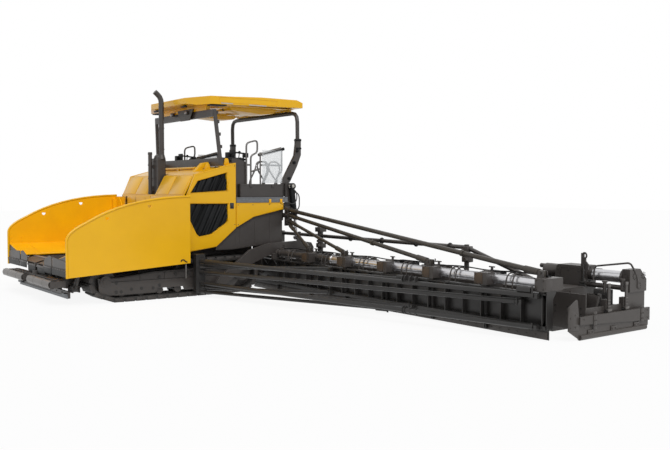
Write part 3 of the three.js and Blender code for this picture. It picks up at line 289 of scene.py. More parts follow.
def studs(bm, places, axis, radius=11, height=9, sides=6):
    """Bolt heads or caps standing out along an axis; a negative height points the other way."""
    for place in places:
        tip = Vector(place) + Vector(AXES[axis](0, 0, height))
        bar(bm, place, tip, radius, sides, radius * 0.86)


def plate(bm, outline, span, axis, chamfer=0.0):
    """An outline across an axis, carried along it: (y, z) for x, (x, z) for y and (x, y) for z."""
    place = AXES[axis]
    face = bm.faces.new([bm.verts.new(place(u, v, span[0])) for u, v in outline])
    grown = bmesh.ops.extrude_face_region(bm, geom=[face], use_keep_orig=True)["geom"]
    verts = [item for item in grown if isinstance(item, bmesh.types.BMVert)]
    bmesh.ops.translate(bm, verts=verts, vec=place(0, 0, span[1] - span[0]))
    if chamfer:
        edges = list({edge for vert in verts for edge in vert.link_edges})
        bmesh.ops.bevel(bm, geom=edges, offset=chamfer, affect="EDGES", segments=2, profile=0.5, material=-1)


def rim(bm, outline, width, span, axis):
    """A flat frame that follows an outline inwards by its width."""
    place = AXES[axis]
    face = bm.faces.new([bm.verts.new(place(u, v, span[0])) for u, v in outline])
    ring = bmesh.ops.inset_individual(bm, faces=[face], thickness=width)["faces"]
    bmesh.ops.delete(bm, geom=[face], context="FACES_ONLY")
    grown = bmesh.ops.extrude_face_region(bm, geom=ring, use_keep_orig=True)["geom"]
    verts = [item for item in grown if isinstance(item, bmesh.types.BMVert)]
    bmesh.ops.translate(bm, verts=verts, vec=place(0, 0, span[1] - span[0]))


def bent(bm, points, radius, bend=60, sides=3, closed=False):
    """A tube bent through points, its corners rounded by the bend; bend=None runs smoothly like a hose."""
    curve = bpy.data.curves.new("route", "CURVE")
    curve.dimensions = "3D"
    curve.bevel_depth = radius
    curve.bevel_resolution = sides
    curve.use_fill_caps = True
    curve.resolution_u = 5
    corners = [Vector(p) for p in points]
    spline = curve.splines.new("BEZIER")
    if bend is None:
        spline.bezier_points.add(len(corners) - 1)
        for point, place in zip(spline.bezier_points, corners):
            point.co = place
            point.handle_left_type = point.handle_right_type = "AUTO"
    else:
        stops = [(corners[0], None)]
        for before, here, after in zip(corners, corners[1:], corners[2:]):
            into = here + (before - here).normalized() * bend
            away = here + (after - here).normalized() * bend
            stops += [(into, here), (away, here)]
        stops.append((corners[-1], None))
        spline.bezier_points.add(len(stops) - 1)
        for i, (point, (place, corner)) in enumerate(zip(spline.bezier_points, stops)):
            point.co = place
            point.handle_left_type = point.handle_right_type = "VECTOR"
            if corner is not None:
                side = "handle_right" if i % 2 else "handle_left"
                setattr(point, side + "_type", "FREE")
                setattr(point, side, place + (corner - place) * 0.55)
    spline.use_cyclic_u = closed
    run = bpy.data.objects.new("route", curve)
    mesh = bpy.data.meshes.new_from_object(run)
    bm.from_mesh(mesh)
    bpy.data.objects.remove(run)
    bpy.data.curves.remove(curve)
    bpy.data.meshes.remove(mesh)


def put_in(bm, part, matrix):
    """Moves a part that was drawn on its own to its place, and adds it to the drawing."""
    bmesh.ops.transform(part, matrix=matrix, verts=part.verts)
    mesh = bpy.data.meshes.new("part")
    part.to_mesh(mesh)
    part.free()
    bm.from_mesh(mesh)
    bpy.data.meshes.remove(mesh)


def piece(name, bm, body, material, slot, soft_edge=0.0, mirror=False, smooth_under=38):
    """Turns a drawing into a piece of the machine that rides on a body."""
    bmesh.ops.transform(bm, matrix=TO_FRAME, verts=bm.verts)
    if mirror:
        bmesh.ops.scale(bm, vec=(-1, 1, 1), verts=bm.verts)
    bmesh.ops.remove_doubles(bm, verts=bm.verts, dist=0.00001)
    bmesh.ops.recalc_face_normals(bm, faces=bm.faces)
    mesh = bpy.data.meshes.new(name)
    bm.to_mesh(mesh)
    mesh.shade_smooth()
    mesh.set_sharp_from_angle(angle=math.radians(smooth_under))
    mesh.materials.append(material)
    made = bpy.data.objects.new(name, mesh)
    bpy.context.scene.collection.objects.link(made)
    if soft_edge:
        rounded = made.modifiers.new("round_edges", "BEVEL")
        rounded.width = soft_edge / 1000
        rounded.segments = 2
        rounded.limit_method = "ANGLE"
        rounded.angle_limit = math.radians(50)
    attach(made, body)
    return made


SLOT = {}


def once(name, draw, body="root", material=None, **how):
    """One piece on the machine's centre line, or one that draws both its sides."""
    bm = bmesh.new()
    draw(bm)
    made = piece(name, bm, body, material, SLOT[material.name], **how)
    bm.free()
    return made


def twice(name, draw, body="root", material=None, **how):
    """A piece on the left and its mirror image on the right; a body named with {} follows the side."""
    for side in ("left", "right"):
        bm = bmesh.new()
        draw(bm)
        piece(f"{name}_{side}", bm, body.format(side), material, SLOT[material.name],
              mirror=side == "right", **how)
        bm.free()


SLOT.update({YELLOW.name: "yellow_paint", HOPPER_BOUNCE_LIT.name: "hopper_paint", DARK.name: "dark_paint",
             TRACK.name: "track_steel", ZINC.name: "bare_steel", WORN.name: "bare_steel",
             CHROME.name: "chrome_rod", PLASTIC.name: "black_plastic", RUBBER.name: "black_plastic",
             RAIL.name: "bare_steel", SCALE.name: "dark_paint", SCREEN.name: "black_plastic",
             PALE.name: "bare_steel", NAVY.name: "black_plastic", AMBER.name: "black_plastic",
             BLACK.name: "dark_paint", SHOE.name: "track_steel", STAY.name: "dark_paint"})

# ---- hopper ----------------------------------------------------------------------------------
WING_OUTER, WING_FRONT, WING_REAR, WING_REAR_TOP = 1669, -875, 1293, 1781


def wing_edge(steps=9):
    """Points along the top edge of a wing, from its front lower corner to its rear."""
    def curve(a, b, c):
        return [((1 - t) ** 2 * a[0] + 2 * t * (1 - t) * b[0] + t * t * c[0],
                 (1 - t) ** 2 * a[1] + 2 * t * (1 - t) * b[1] + t * t * c[1])
                for t in (k / steps for k in range(steps + 1))]
    nose = curve((WING_FRONT, 1080), (WING_FRONT, 1220), (-560, 1360))
    crown = curve((-560, 1360), (150, WING_REAR_TOP - 10), (WING_REAR, WING_REAR_TOP))
    return [(WING_FRONT, 480), *nose, *crown[1:]]


LASHING_HOLES = [(542, 1624), (-200, 1430)]
HOLE = 36


def wing_skin(bm):
    """The outer sheet of a wing, split at each lashing hole so that the holes stay open."""
    edge = wing_edge(14)[1:]

    def low(y):
        return 476 + (y - WING_FRONT) * (609 - 476) / (WING_REAR - WING_FRONT)

    def high(y):
        return next(a[1] + (b[1] - a[1]) * (y - a[0]) / (b[0] - a[0]) for a, b in zip(edge, edge[1:])
                    if a[0] <= y <= b[0] and b[0] > a[0])

    cuts = sorted({y + side * HOLE for y, _ in LASHING_HOLES for side in (-1, 1)})
    stops = [WING_FRONT, *cuts, WING_REAR]
    for first, last in zip(stops, stops[1:]):
        top = [(y, z) for y, z in edge if first < y < last or (y == first == WING_FRONT)]
        ends = [(first, high(first))] if first > WING_FRONT else []
        upper = [*ends, *top, (last, high(last))]
        hole = next((h for h in LASHING_HOLES if abs((first + last) / 2 - h[0]) < HOLE), None)
        if hole is None:
            plate(bm, [(first, low(first)), *upper, (last, low(last))], (WING_OUTER, WING_OUTER + 3), "x")
            continue
        arc = [(hole[0] - HOLE * math.cos(k * math.pi / 8), hole[1] - HOLE * math.sin(k * math.pi / 8))
               for k in range(9)]
        plate(bm, [(first, low(first)), *arc, (last, low(last))], (WING_OUTER, WING_OUTER + 3), "x")
        flat = hole[1] + 12
        plate(bm, [(first, flat), *upper, (last, flat)], (WING_OUTER, WING_OUTER + 3), "x")


def wing_lip(bm):
    bent(bm, [(WING_OUTER - 3, y, z - 6) for y, z in wing_edge()], 21, bend=6, sides=4)


def wing_inside(bm):
    for y in (-500, 120, 740):
        plate(bm, [(1010, 716), (1640, 852), (1640, 860), (1010, 724)], (y, y + 26), "y")
    block(bm, (1560, 1655), (1180, 1255), (860, 1700))
    for y in (-820, -640):
        studs(bm, [(1655, y, z) for z in (905, 980)], "x", 12, -10)


def wing_apron(bm):
    plate(bm, [(930, 488), (1652, 488), (1652, 604), (930, 604)], (-884, -874), "y", 2)


def apron_shield(bm):
    plate(bm, [(935, 600), (1640, 600), (1652, 700), (1560, 742), (935, 768)], (-872, -862), "y", 2)
    plate(bm, [(935, 700), (1640, 840), (1650, 700), (935, 600)], (-861, -853), "y")


def apron_clamp(bm):
    block(bm, (935, 1648), (-890, -884), (578, 606), 2)
    studs(bm, [(x, -890, 592) for x in range(960, 1640, 110)], "y", 10, -8)


def wing_handle(bm):
    bent(bm, [(WING_OUTER + 2, 1112, 640), (WING_OUTER + 12, 1118, 672), (WING_OUTER + 12, 1160, 676),
              (WING_OUTER + 12, 1200, 640), (WING_OUTER + 6, 1228, 632)], 9, bend=14)


def wing_rod(bm):
    bar(bm, (WING_OUTER - 26, 1220, 345), (WING_OUTER - 26, 1220, 640), 14)


twice("hopper_wing_skin", wing_skin, "wing_{}", YELLOW)
twice("hopper_wing_lip", wing_lip, "wing_{}", YELLOW)
# The strips inside the wing take the brighter enamel copy, with its painted bounce light.
twice("hopper_wing_strips", wing_inside, "wing_{}", HOPPER_BOUNCE_LIT)
twice("hopper_apron_flap", wing_apron, "wing_{}", RUBBER)
twice("hopper_apron_shield", apron_shield, "wing_{}", DARK)
twice("hopper_apron_clamp", apron_clamp, "wing_{}", DARK)
twice("hopper_wing_latch", wing_handle, "wing_{}", PLASTIC)
twice("hopper_wing_prop", wing_rod, "wing_{}", WORN)


def centre_apron(bm):
    for side in (-1, 1):
        block(bm, across(side, 490, 895), (-884, -874), (488, 604), 3)
        block(bm, across(side, 60, 480), (-860, -848), (440, 560), 3)


def apron_carrier(bm):
    for side in (-1, 1):
        inner, outer = sorted((side * 480, side * 900))
        plate(bm, [(side * 880, 600), (side * 880, 768), (side * 738, 782), (side * 480, 690),
                   (side * 490, 600)], (-872, -862), "y")
        block(bm, (inner, outer), (-890, -884), (578, 606), 2)
        block(bm, across(side, 40, 500), (-866, -860), (540, 580), 2)
        for x in (80, 470, 860):
            block(bm, across(side, x, x + 26), (-862, -646), (560, 600), 3)


def front_ramp(bm):
    for side in (-1, 1):
        inner, outer = sorted((side * 80, side * 860))
        plate(bm, [(-850, 600), (-640, 655), (-640, 664), (-850, 609)], (inner, outer), "x")


def ramp_edge(bm):
    for side in (-1, 1):
        inner, outer = sorted((side * 80, side * 860))
        block(bm, (inner, outer), (-648, -560), (656, 672), 3)


def conveyor_chains(bm):
    """Drag chains of alternating inner and outer links beside the flight bars."""
    for side in (-1, 1):
        for x in (95, 815):
            for k in range(46):
                y = -600 + k * 78
                half = 8 if k % 2 else 14
                block(bm, (side * x - half, side * x + half), (y, y + 84), (517, 537))


def conveyor_guards(bm):
    for side in (-1, 1):
        plate(bm, [(side * 862, 660), (side * 862, 560), (side * 800, 548), (side * 800, 560),
                   (side * 850, 572), (side * 850, 660)], (-640, 1290), "y")


def front_chute(bm):
    for side in (-1, 1):
        inner, outer = sorted((side * 300, side * 840))
        plate(bm, [(-650, 545), (-560, 640), (-540, 640), (-630, 545)], (inner, outer), "x")


once("apron_centre", centre_apron, "root", RUBBER)
once("apron_carrier", apron_carrier, "root", DARK)
once("hopper_front_ramp", front_ramp, "root", SCALE)
once("hopper_ramp_edge", ramp_edge, "root", ZINC)
def wing_back(bm):
    plate(bm, [(1188, 1100), (1655, 1040), (1655, 1752), (1188, 1752)], (1273, 1277), "y")


def back_wall(bm):
    for side in (-1, 1):
        block(bm, across(side, 1110, 1180), (1297, 1322), (1080, 1768), 5)
        block(bm, across(side, 960, 1240), (1304, 1322), (1068, 1100), 3)
    for x in (-700, -240, 240, 700):
        block(bm, (x - 14, x + 14), (1297, 1322), (1080, 1745), 4)


def back_bar(bm):
    bar(bm, (-1150, 1314, 1758), (1150, 1314, 1758), 11)
    for x in (-900, -300, 300, 900):
        block(bm, (x - 16, x + 16), (1303, 1322), (1742, 1772), 3)


# The wing's back plate takes the brighter enamel copy, with its painted bounce light.
twice("hopper_wing_back", wing_back, "wing_{}", HOPPER_BOUNCE_LIT)
once("hopper_back_posts", back_wall, "root", DARK)
once("hopper_back_bar", back_bar, "root", ZINC)
once("conveyor_chains", conveyor_chains, "root", WORN)
once("conveyor_guards", conveyor_guards, "root", WORN)
once("conveyor_front_lip", front_chute, "root", ZINC)


def frame_front(bm):
    for side in (-1, 1):
        for x in (350, 620):
            block(bm, (side * x - 12, side * x + 12), (-715, -640), (300, 480), 3)
        studs(bm, [(side * x, -716, z) for x in (820, 1000, 1180, 1300) for z in (140, 195)], "y", 12, 9)
        studs(bm, [(side * x, -756, 190) for x in (200, 450, 760, 1040, 1290)], "y", 14, -10)
        plate(bm, [(-700, 240), (-400, 240), (-400, 420), (-560, 520), (-700, 420)],
              across(side, 951, 975), "x", 3)
        bar(bm, (side * 975, -520, 330), (side * 1010, -520, 330), 46, 20)


def scraper_edge(bm):
    block(bm, (-1339, 1339), (-764, -757), (105, 150))
    for side in (-1, 1):
        block(bm, across(side, 1150, 1335), (-800, -757), (150, 190), 3)


def beam_fittings(bm):
    for side in (-1, 1):
        for x in (250, 700, 1150):
            block(bm, (side * x - 9, side * x + 9), (-950, -929), (300, 405), 2)
        studs(bm, [(side * x, -865, 418) for x in (300, 520, 740, 960, 1180)], "z", 13, 10)
        for x in (138, 1360):
            bar(bm, (side * x - 16, -1010, 353), (side * x + 16, -1010, 353), 40, 20)
    bar(bm, (0, -865, 418), (0, -865, 478), 55, 24)


def roller_caps(bm):
    for x in (150, 1330):
        bar(bm, (x, -1010, 353), (x + 18, -1010, 353), 67.5, 28)
    for x in (500, 1000):
        bar(bm, (x, -1010, 353), (x + 5, -1010, 353), 69, 28)


once("frame_front_fittings", frame_front, "root", DARK)
once("scraper_edge", scraper_edge, "root", ZINC)
once("push_beam_fittings", beam_fittings, "push_beam", DARK, soft_edge=1.5)
twice("push_roller_bands", roller_caps, "push_roller_{}", DARK)

# ---- tracks ----------------------------------------------------------------------------------
BELT = [((0, 120), 120), ((2380, 120), 120), ((2440, 350), 330), ((-170, 360), 290)]


def belt_stations(count):
    """Places and headings at even steps round the belt's four circles, as (y, z, angle)."""
    runs = []
    angles = []
    for (here, radius), (ahead, next_radius) in zip(BELT, BELT[1:] + BELT[:1]):
        across = Vector(ahead) - Vector(here)
        angles.append(math.atan2(across.y, across.x) - math.pi / 2
                      - math.asin((next_radius - radius) / across.length))
    for i, (here, radius) in enumerate(BELT):
        start, end = angles[i - 1], angles[i]
        while end < start:
            end += math.tau
        runs.append(("arc", Vector(here), radius, start, (end - start) * radius))
        ahead, next_radius = BELT[(i + 1) % 4]
        out = Vector((math.cos(end), math.sin(end)))
        a, b = Vector(here) + out * radius, Vector(ahead) + out * next_radius
        runs.append(("line", a, b, end, (b - a).length))
    total = sum(run[4] for run in runs)
    for k in range(count):
        left = total * (k + 0.5) / count
        for kind, first, second, angle, length in runs:
            if left <= length:
                break
            left -= length
        if kind == "arc":
            turned = angle + left / second
            yield (*(first + Vector((math.cos(turned), math.sin(turned))) * second), turned)
        else:
            yield (*(first + (second - first) * (left / length)), angle)


SHOES = 37


def shoe_parts(bm, draw):
    """Draws something on every shoe: x across the track, y along it, z outwards from the shoe's face."""
    for y, z, angle in belt_stations(SHOES):
        shoe = bmesh.new()
        draw(shoe)
        put_in(bm, shoe, Matrix.Translation((1280, y, z)) @ Matrix.Rotation(angle - math.pi / 2, 4, "X"))


def pads(bm):
    shoe_parts(bm, lambda shoe: block(shoe, (-205, 205), (-58, 58), (-14, -0.5), 6))


def grousers(bm):
    def draw(shoe):
        for side in (-1, 1):
            block(shoe, across(side, 200, 227), (-76, 76), (-66, -3), 6)
            block(shoe, across(side, 216, 231), (-20, 20), (-52, -18), 4)
    shoe_parts(bm, draw)


def links(bm):
    def draw(shoe):
        for x in (-70, 70):
            block(shoe, (x - 16, x + 16), (-70, 70), (-100, -79), 4)
        bar(shoe, (-100, -84, -88), (100, -84, -88), 16, 10)
    shoe_parts(bm, draw)


twice("track_pads", pads, "root", TRACK)
twice("track_shoes", grousers, "root", SHOE)
twice("track_chain", links, "root", TRACK)


def roller_frame(bm):
    outer = 1470
    plate(bm, [(-290, 200), (-209, 122), (700, 122), (740, 190), (1237, 190), (1262, 122), (2260, 122),
               (2380, 260), (2380, 330), (740, 342), (40, 342), (-290, 345)], (outer, outer + 10), "x", 2)
    rim(bm, [(-240, 345), (2330, 345), (2290, 440), (700, 462), (80, 402), (-240, 402)], 16,
        (outer, outer + 14), "x")
    for y in (450, 900, 1350, 1800):
        block(bm, (outer, outer + 12), (y - 10, y + 10), (335, 450))
    for y, z, radius in ((-170, 360, 95), (2440, 350, 140)):
        bar(bm, (outer - 20, y, z), (outer + 16, y, z), radius, 32)
        bar(bm, (outer - 20, y, z), (outer + 24, y, z), radius * 0.55, 24)


def roller_frame_holes(bm):
    for y, z in ((12, 327), (11, 174), (97, 174), (279, 206), (461, 207), (671, 198), (793, 378), (792, 237),
                 (1480, 240), (1720, 240), (1960, 240), (1350, 410), (1100, 410)):
        bar(bm, (1471, y, z), (1485, y, z), 27, 20)


def carrier_rollers(bm):
    for y in (520, 1180, 1840):
        bar(bm, (1180, y, 545), (1380, y, 545), 36, 20)
        block(bm, (1260, 1300), (y - 40, y + 40), (400, 545), 4)
    for y in (-170, 2440):
        for x in (1208, 1352):
            bar(bm, (x - 6, y, 355), (x + 6, y, 355), 205 if y < 0 else 248, 36)


twice("track_frame_cover", roller_frame, "root", DARK)
twice("track_frame_bolts", roller_frame_holes, "root", TRACK)
twice("track_carrier_rollers", carrier_rollers, "root", TRACK)

# ---- hood, doors and side panels ---------------------------------------------------------------
SIDE = 1450
UPPER = [(1425, 1840), (1560, 2045), (2141, 2200), (2161, 1880)]
LOWER = [(1400, 1640), (1400, 1355), (1530, 1101), (1587, 1053), (1825, 1092), (2164, 1310), (2166, 1633)]


def grown(outline, by):
    """An outline pushed out from its middle by so many millimetres."""
    middle = sum((Vector(p) for p in outline), Vector((0, 0))) / len(outline)
    return [tuple(Vector(p) + (Vector(p) - middle).normalized() * by) for p in outline]


def door_rims(bm):
    rim(bm, grown(UPPER, 26), 24, (SIDE, SIDE + 6), "x")
    rim(bm, grown(LOWER, 26), 24, (SIDE, SIDE + 6), "x")


def door_edge(bm):
    rim(bm, [(1352, 792), (1920, 866), (2330, 1192), (2330, 2370), (1512, 2150), (1352, 1788)], 20,
        (SIDE, SIDE + 4), "x")


def door_seals(bm):
    rim(bm, grown(UPPER, 1), 13, (SIDE - 30, SIDE + 2), "x")
    rim(bm, grown(LOWER, 1), 13, (SIDE - 30, SIDE + 2), "x")


def door_louvres(bm):
    """Slanting louvre blades behind both windows, each a thin folded strip."""
    def ends(outline, y0, slope=0.5):
        """Heights where a blade that starts at y0 crosses the outline."""
        found = []
        for (ya, za), (yb, zb) in zip(outline, outline[1:] + outline[:1]):
            ga, gb = ya - y0 - za * slope, yb - y0 - zb * slope
            if ga * gb < 0:
                t = ga / (ga - gb)
                found.append(za + (zb - za) * t)
        return (min(found), max(found)) if len(found) > 1 else None
    for outline, base in ((grown(UPPER, -14), 420), (grown(LOWER, -14), 420)):
        for k in range(14):
            y0 = base + k * 112
            span = ends(outline, y0)
            if span and span[1] - span[0] > 40:
                foot, head = span
                low, high = y0 + foot * 0.5, y0 + head * 0.5
                plate(bm, [(low, foot), (low + 44, foot + 6), (high + 44, head - 6), (high, head)],
                      (SIDE - 42, SIDE - 12), "x", 5)


def door_latch(bm):
    block(bm, (SIDE, SIDE + 8), (2210, 2290), (1545, 1650), 4)
    block(bm, (SIDE + 8, SIDE + 16), (2228, 2272), (1575, 1625), 4)


def door_hinges(bm):
    for z in (900, 1500, 1720):
        bar(bm, (SIDE - 6, 1334, z), (SIDE - 6, 1334, z + 70), 10, 12)
    studs(bm, [(SIDE, y, z) for y, z in ((1380, 1000), (1380, 1720), (2310, 1250), (2310, 2330))], "x", 9, 5)


twice("door_window_rims", door_rims, "side_door_{}", YELLOW, soft_edge=2.5)
twice("door_pressed_edge", door_edge, "side_door_{}", YELLOW, soft_edge=1.5)
twice("door_window_seals", door_seals, "side_door_{}", NAVY)
twice("door_louvres", door_louvres, "side_door_{}", PLASTIC)
twice("door_latch", door_latch, "side_door_{}", NAVY)
twice("door_hinges", door_hinges, "side_door_{}", DARK)


def side_trim(bm):
    rim(bm, [(2362, 1212), (2722, 1398), (3352, 1524), (3368, 1530), (3368, 1636), (2362, 1636)], 10,
        (SIDE, SIDE + 3), "x")


def side_bolts(bm):
    studs(bm, [(SIDE, y, z) for y, z in ((2385, 1250), (2385, 1610), (2700, 1610), (3060, 1610), (3350, 1610),
                                         (3350, 1545))], "x", 9, 5)
    for y in (2430, 2760, 3090):
        block(bm, (SIDE - 44, SIDE - 41), (y, y + 3), (900, 1500))


def lower_trim(bm):
    outer = SIDE - 45.3
    block(bm, (outer, outer + 2), (2346, 2352), (800, 1180))
    rim(bm, [(1960, 806), (2300, 806), (3330, 900), (3366, 912), (3366, 1500), (2720, 1360), (2345, 1165)], 8,
        (outer, outer + 3), "x")
    studs(bm, [(outer, y, z) for y, z in ((2010, 830), (2320, 840), (2700, 880), (3080, 915), (3340, 940),
                                         (3340, 1460))], "x", 9, 5)


twice("side_panel_trim", side_trim, "root", YELLOW)
twice("side_panel_bolts", side_bolts, "root", DARK)
twice("lower_panel_trim", lower_trim, "root", DARK)


def hood_panels(bm):
    """Pressed panels on the sloping front and on the top of the hood, with their seams."""
    slope = Vector((0, 195, 360)).normalized()
    normal = Vector((0, -360, 195)).normalized()
    for x0, x1 in ((-1340, -760), (-740, -230), (230, 740), (760, 1340)):
        panel = bmesh.new()
        block(panel, (x0, x1), (15, 395), (0, 7), 6)
        put_in(bm, panel, Matrix.Translation((0, 1305, 1790)) @ Matrix(
            ((1, 0, 0, 0), (0, slope.y, normal.y, 0), (0, slope.z, normal.z, 0), (0, 0, 0, 1))))
    for x0, x1 in ((-1330, -225), (225, 1330)):
        plate(bm, [(1520, 2158), (1960, 2282), (1960, 2288), (1520, 2164)], (x0, x1), "x")
    for x0, x1 in ((-1350, -20), (20, 1350)):
        block(bm, (x0, x1), (1297, 1305), (1120, 1770), 4)


def hood_lugs(bm):
    for side in (-1, 1):
        for y in (1900, 2230):
            top = 2262 if y < 2000 else 2357
            x = side * (1180 if y < 2000 else 1290)
            plate(bm, [(y - 60, top - 5), (y + 60, top - 5), (y + 36, top + 95), (y + 18, top + 118),
                       (y - 18, top + 118), (y - 36, top + 95)], (x - 12, x + 12), "x", 4)
        plate(bm, [(1700, 2205), (1850, 2247), (2025, 2350), (2025, 2410), (1887, 2386), (1770, 2262)],
              across(side, 905, 985), "x", 3)


def hood_cross(bm):
    bar(bm, (-700, 1900, 2300), (700, 1900, 2300), 22)
    for x in (-640, 0, 640):
        block(bm, (x - 20, x + 20), (1880, 1920), (2250, 2300), 3)


once("hood_pressed_panels", hood_panels, "root", YELLOW)
once("hood_lifting_lugs", hood_lugs, "root", YELLOW)
once("hood_grab_bar", hood_cross, "root", YELLOW)


def exhaust_fittings(bm):
    bar(bm, (85, 1500, 2480), (85, 1500, 2560), 74, 28, 52)
    for z in (2650, 3050, 3450):
        bar(bm, (85, 1500, z), (85, 1500, z + 26), 54, 28)
    bar(bm, (-100, 1345, 2560), (-100, 1345, 2604), 42, 24)
    for z in (1830, 2090, 2350):
        bar(bm, (-100, 1345, z), (-100, 1345, z + 30), 43, 24)
    for z in (1850, 2440):
        block(bm, (-139, 134), (1396, 1564), (z, z + 26), 3)
    dome = Matrix.Translation((-45, 1480, 2488)) @ Matrix.Diagonal((1, 0.8, 0.9, 1))
    bmesh.ops.create_uvsphere(bm, u_segments=24, v_segments=14, radius=92, matrix=dome)
    for x in (-137, 132):
        studs(bm, [(x, 1480, z) for z in (1900, 2000, 2150, 2300)], "x", 11, 8 if x > 0 else -8)


once("exhaust_clamps", exhaust_fittings, "root", DARK)


def engine_parts(bm):
    for k in range(6):
        block(bm, (-430, 430), (1740 + k * 84, 1790 + k * 84), (1951, 1975), 4)
    bar(bm, (-300, 1660, 1500), (-300, 1699, 1500), 260, 36)
    bar(bm, (250, 1660, 1500), (250, 1699, 1500), 150, 32)


once("engine_ribs", engine_parts, "root", PLASTIC)


# ---- roof and its posts --------------------------------------------------------------------------
def roof_inset(bm):
    """A shallow framed panel on the roof's sloping side, with two slots at its rear."""
    for side in (-1, 1):
        rim(bm, [(2090, 3500), (3340, 3500), (3340, 3590), (2090, 3590)], 10,
            across(side, 1300, 1305), "x")


def roof_slots(bm):
    for side in (-1, 1):
        for y, length in ((2123, 250), (2720, 380)):
            block(bm, across(side, 1299, 1304), (y, y + length), (3470, 3490), 3)


def roof_inside(bm):
    block(bm, (-1180, 1180), (2120, 3800), (3456, 3468), 3)
    for x in (-700, 0, 700):
        block(bm, (x - 260, x + 260), (2260, 3650), (3440, 3457), 5)
    block(bm, (-200, 200), (1960, 2240), (3395, 3460), 10)


def roof_lamps(bm):
    for side in (-1, 1):
        block(bm, across(side, 1100, 1290), (1935, 2250), (3436, 3462), 8)
        block(bm, across(side, 500, 700), (1700, 1740), (3430, 3462), 6)
        bar(bm, (side * 700, 2500, 3440), (side * 700, 2500, 3405), 26, 20, 18)


def roof_duct(bm):
    for side in (-1, 1):
        x = side * 760
        plate(bm, [(2450, 3462), (2520, 3400), (3180, 3350), (3440, 3372), (3560, 3462)],
              (x - 230, x + 230), "x", 10)


once("roof_side_panels", roof_inset, "root", YELLOW)
once("roof_slots", roof_slots, "root", PALE)
once("roof_lining", roof_inside, "root", YELLOW)
once("roof_duct", roof_duct, "root", YELLOW)
once("roof_lamps", roof_lamps, "root", PLASTIC)


def portal_fittings(bm):
    foot, head = Vector((1345, 2085, 2330)), Vector((1251, 2012, 3368))
    for side in (-1, 1):
        for t in (0.12, 0.34, 0.56, 0.78, 0.94):
            place = foot.lerp(head, t)
            block(bm, across(side, place.x - 26, place.x + 26), (place.y + 26, place.y + 62),
                  (place.z - 30, place.z + 30), 6)
        block(bm, across(side, 1235, 1375), (2000, 2150), (2296, 2312), 3)
        studs(bm, [(side * x, y, 2312) for x in (1255, 1358) for y in (2020, 2135)], "z", 12, 9)


def portal_lamps(bm):
    for side in (-1, 1):
        block(bm, (side * 310 - 60, side * 310 + 60), (1900, 1950), (3330, 3400), 10)
    plate(bm, [(-120, 3420), (560, 3420), (400, 3215), (20, 3215)], (1930, 1950), "y", 4)


def portal_lenses(bm):
    for side in (-1, 1):
        block(bm, (side * 310 - 52, side * 310 + 52), (1895, 1901), (3338, 3392), 3)


once("portal_fittings", portal_fittings, "root", DARK)
once("portal_lamp_housings", portal_lamps, "root", STAY)
once("portal_lamp_lenses", portal_lenses, "root", AMBER)


def hoop_fittings(bm):
    for side in (-1, 1):
        outer = 1311
        for y, z in ((3600, 2110), (3720, 2420), (3790, 2650)):
            bar(bm, (side * outer, y, z), (side * (outer + 26), y, z), 30, 20)
            studs(bm, [(side * (outer + 26), y, z)], "x", 17, side * 12)
        for z in (2700, 2860):
            block(bm, across(side, 1232, 1322), (3772, 3892), (z - 18, z + 18), 6)
            studs(bm, [(side * 1322, y, z) for y in (3790, 3874)], "x", 11, side * 8)
        plate(bm, [(3480, 1760), (3560, 1760), (3660, 1960), (3630, 2050), (3480, 1880)],
              across(side, 1180, 1200), "x", 3)


once("rear_hoop_clamps", hoop_fittings, "root", PLASTIC)

# ---- operator's stand ------------------------------------------------------------------------
DECK_TOP = 1750


def deck_tread(bm):
    """Raised tread bars on the deck between its rims."""
    for k in range(26):
        y = 2390 + k * 42
        for x in (-820, -410, 0, 410, 820):
            block(bm, (x - 190, x + 190), (y, y + 12), (DECK_TOP, DECK_TOP + 4))


def deck_edge(bm):
    for side in (-1, 1):
        block(bm, across(side, 1450, 1456), (2355, 3478), (1736, 1748))
        block(bm, across(side, 1450, 1454), (2355, 3478), (1652, 1662))
        studs(bm, [(side * 1450, y, 1700) for y in (2500, 2800, 3100, 3400)], "x", 10, side * 6)


def deck_brackets(bm):
    for side in (-1, 1):
        for y in (3050, 3300):
            block(bm, across(side, 1450, 1470), (y, y + 46), (1640, 1715), 5)


once("deck_tread", deck_tread, "root", ZINC)
once("deck_edge", deck_edge, "root", ZINC)
# The deck brackets take the brighter enamel copy, with its painted bounce light.
once("deck_brackets", deck_brackets, "root", HOPPER_BOUNCE_LIT)


def side_box_lids(bm):
    for side in (-1, 1):
        inner, outer = sorted((side * 1075, side * 1335))
        block(bm, (inner, outer), (2500, 3425), (1986, 2000), 6)
        rim(bm, [(2505, 1765), (3420, 1765), (3420, 1975), (2505, 1975)], 10,
            across(side, 1350, 1353), "x")
        for y in (2720, 3200):
            block(bm, across(side, 1350, 1362), (y - 26, y + 26), (1930, 1990), 4)


def console_top(bm):
    for side in (-1, 1):
        x = side * 1081
        plate(bm, [(2362, 2400), (2671, 2440), (2671, 2478), (2362, 2500)], (x - 176, x + 176), "x", 8)
        rim(bm, [(x - 150, 2395), (x + 150, 2395), (x + 150, 2640), (x - 150, 2640)], 12, (2470, 2492), "z")
        block(bm, (x - 150, x - 30), (2400, 2480), (2488, 2600), 10)
        block(bm, (x - 60, x + 110), (2440, 2470), (2500, 2640), 8)
        bar(bm, (x + 20, 2470, 2600), (x + 20, 2760, 2575), 15, 16)
        block(bm, (x - 20, x + 70), (2700, 2790), (2500, 2590), 10)
        for k in range(4):
            bar(bm, (x - 95 + k * 62, 2600, 2478), (x - 95 + k * 62, 2600, 2500), 15, 18)
        for k in range(3):
            block(bm, (x - 110 + k * 80, x - 60 + k * 80), (2520, 2560), (2478, 2492), 4)


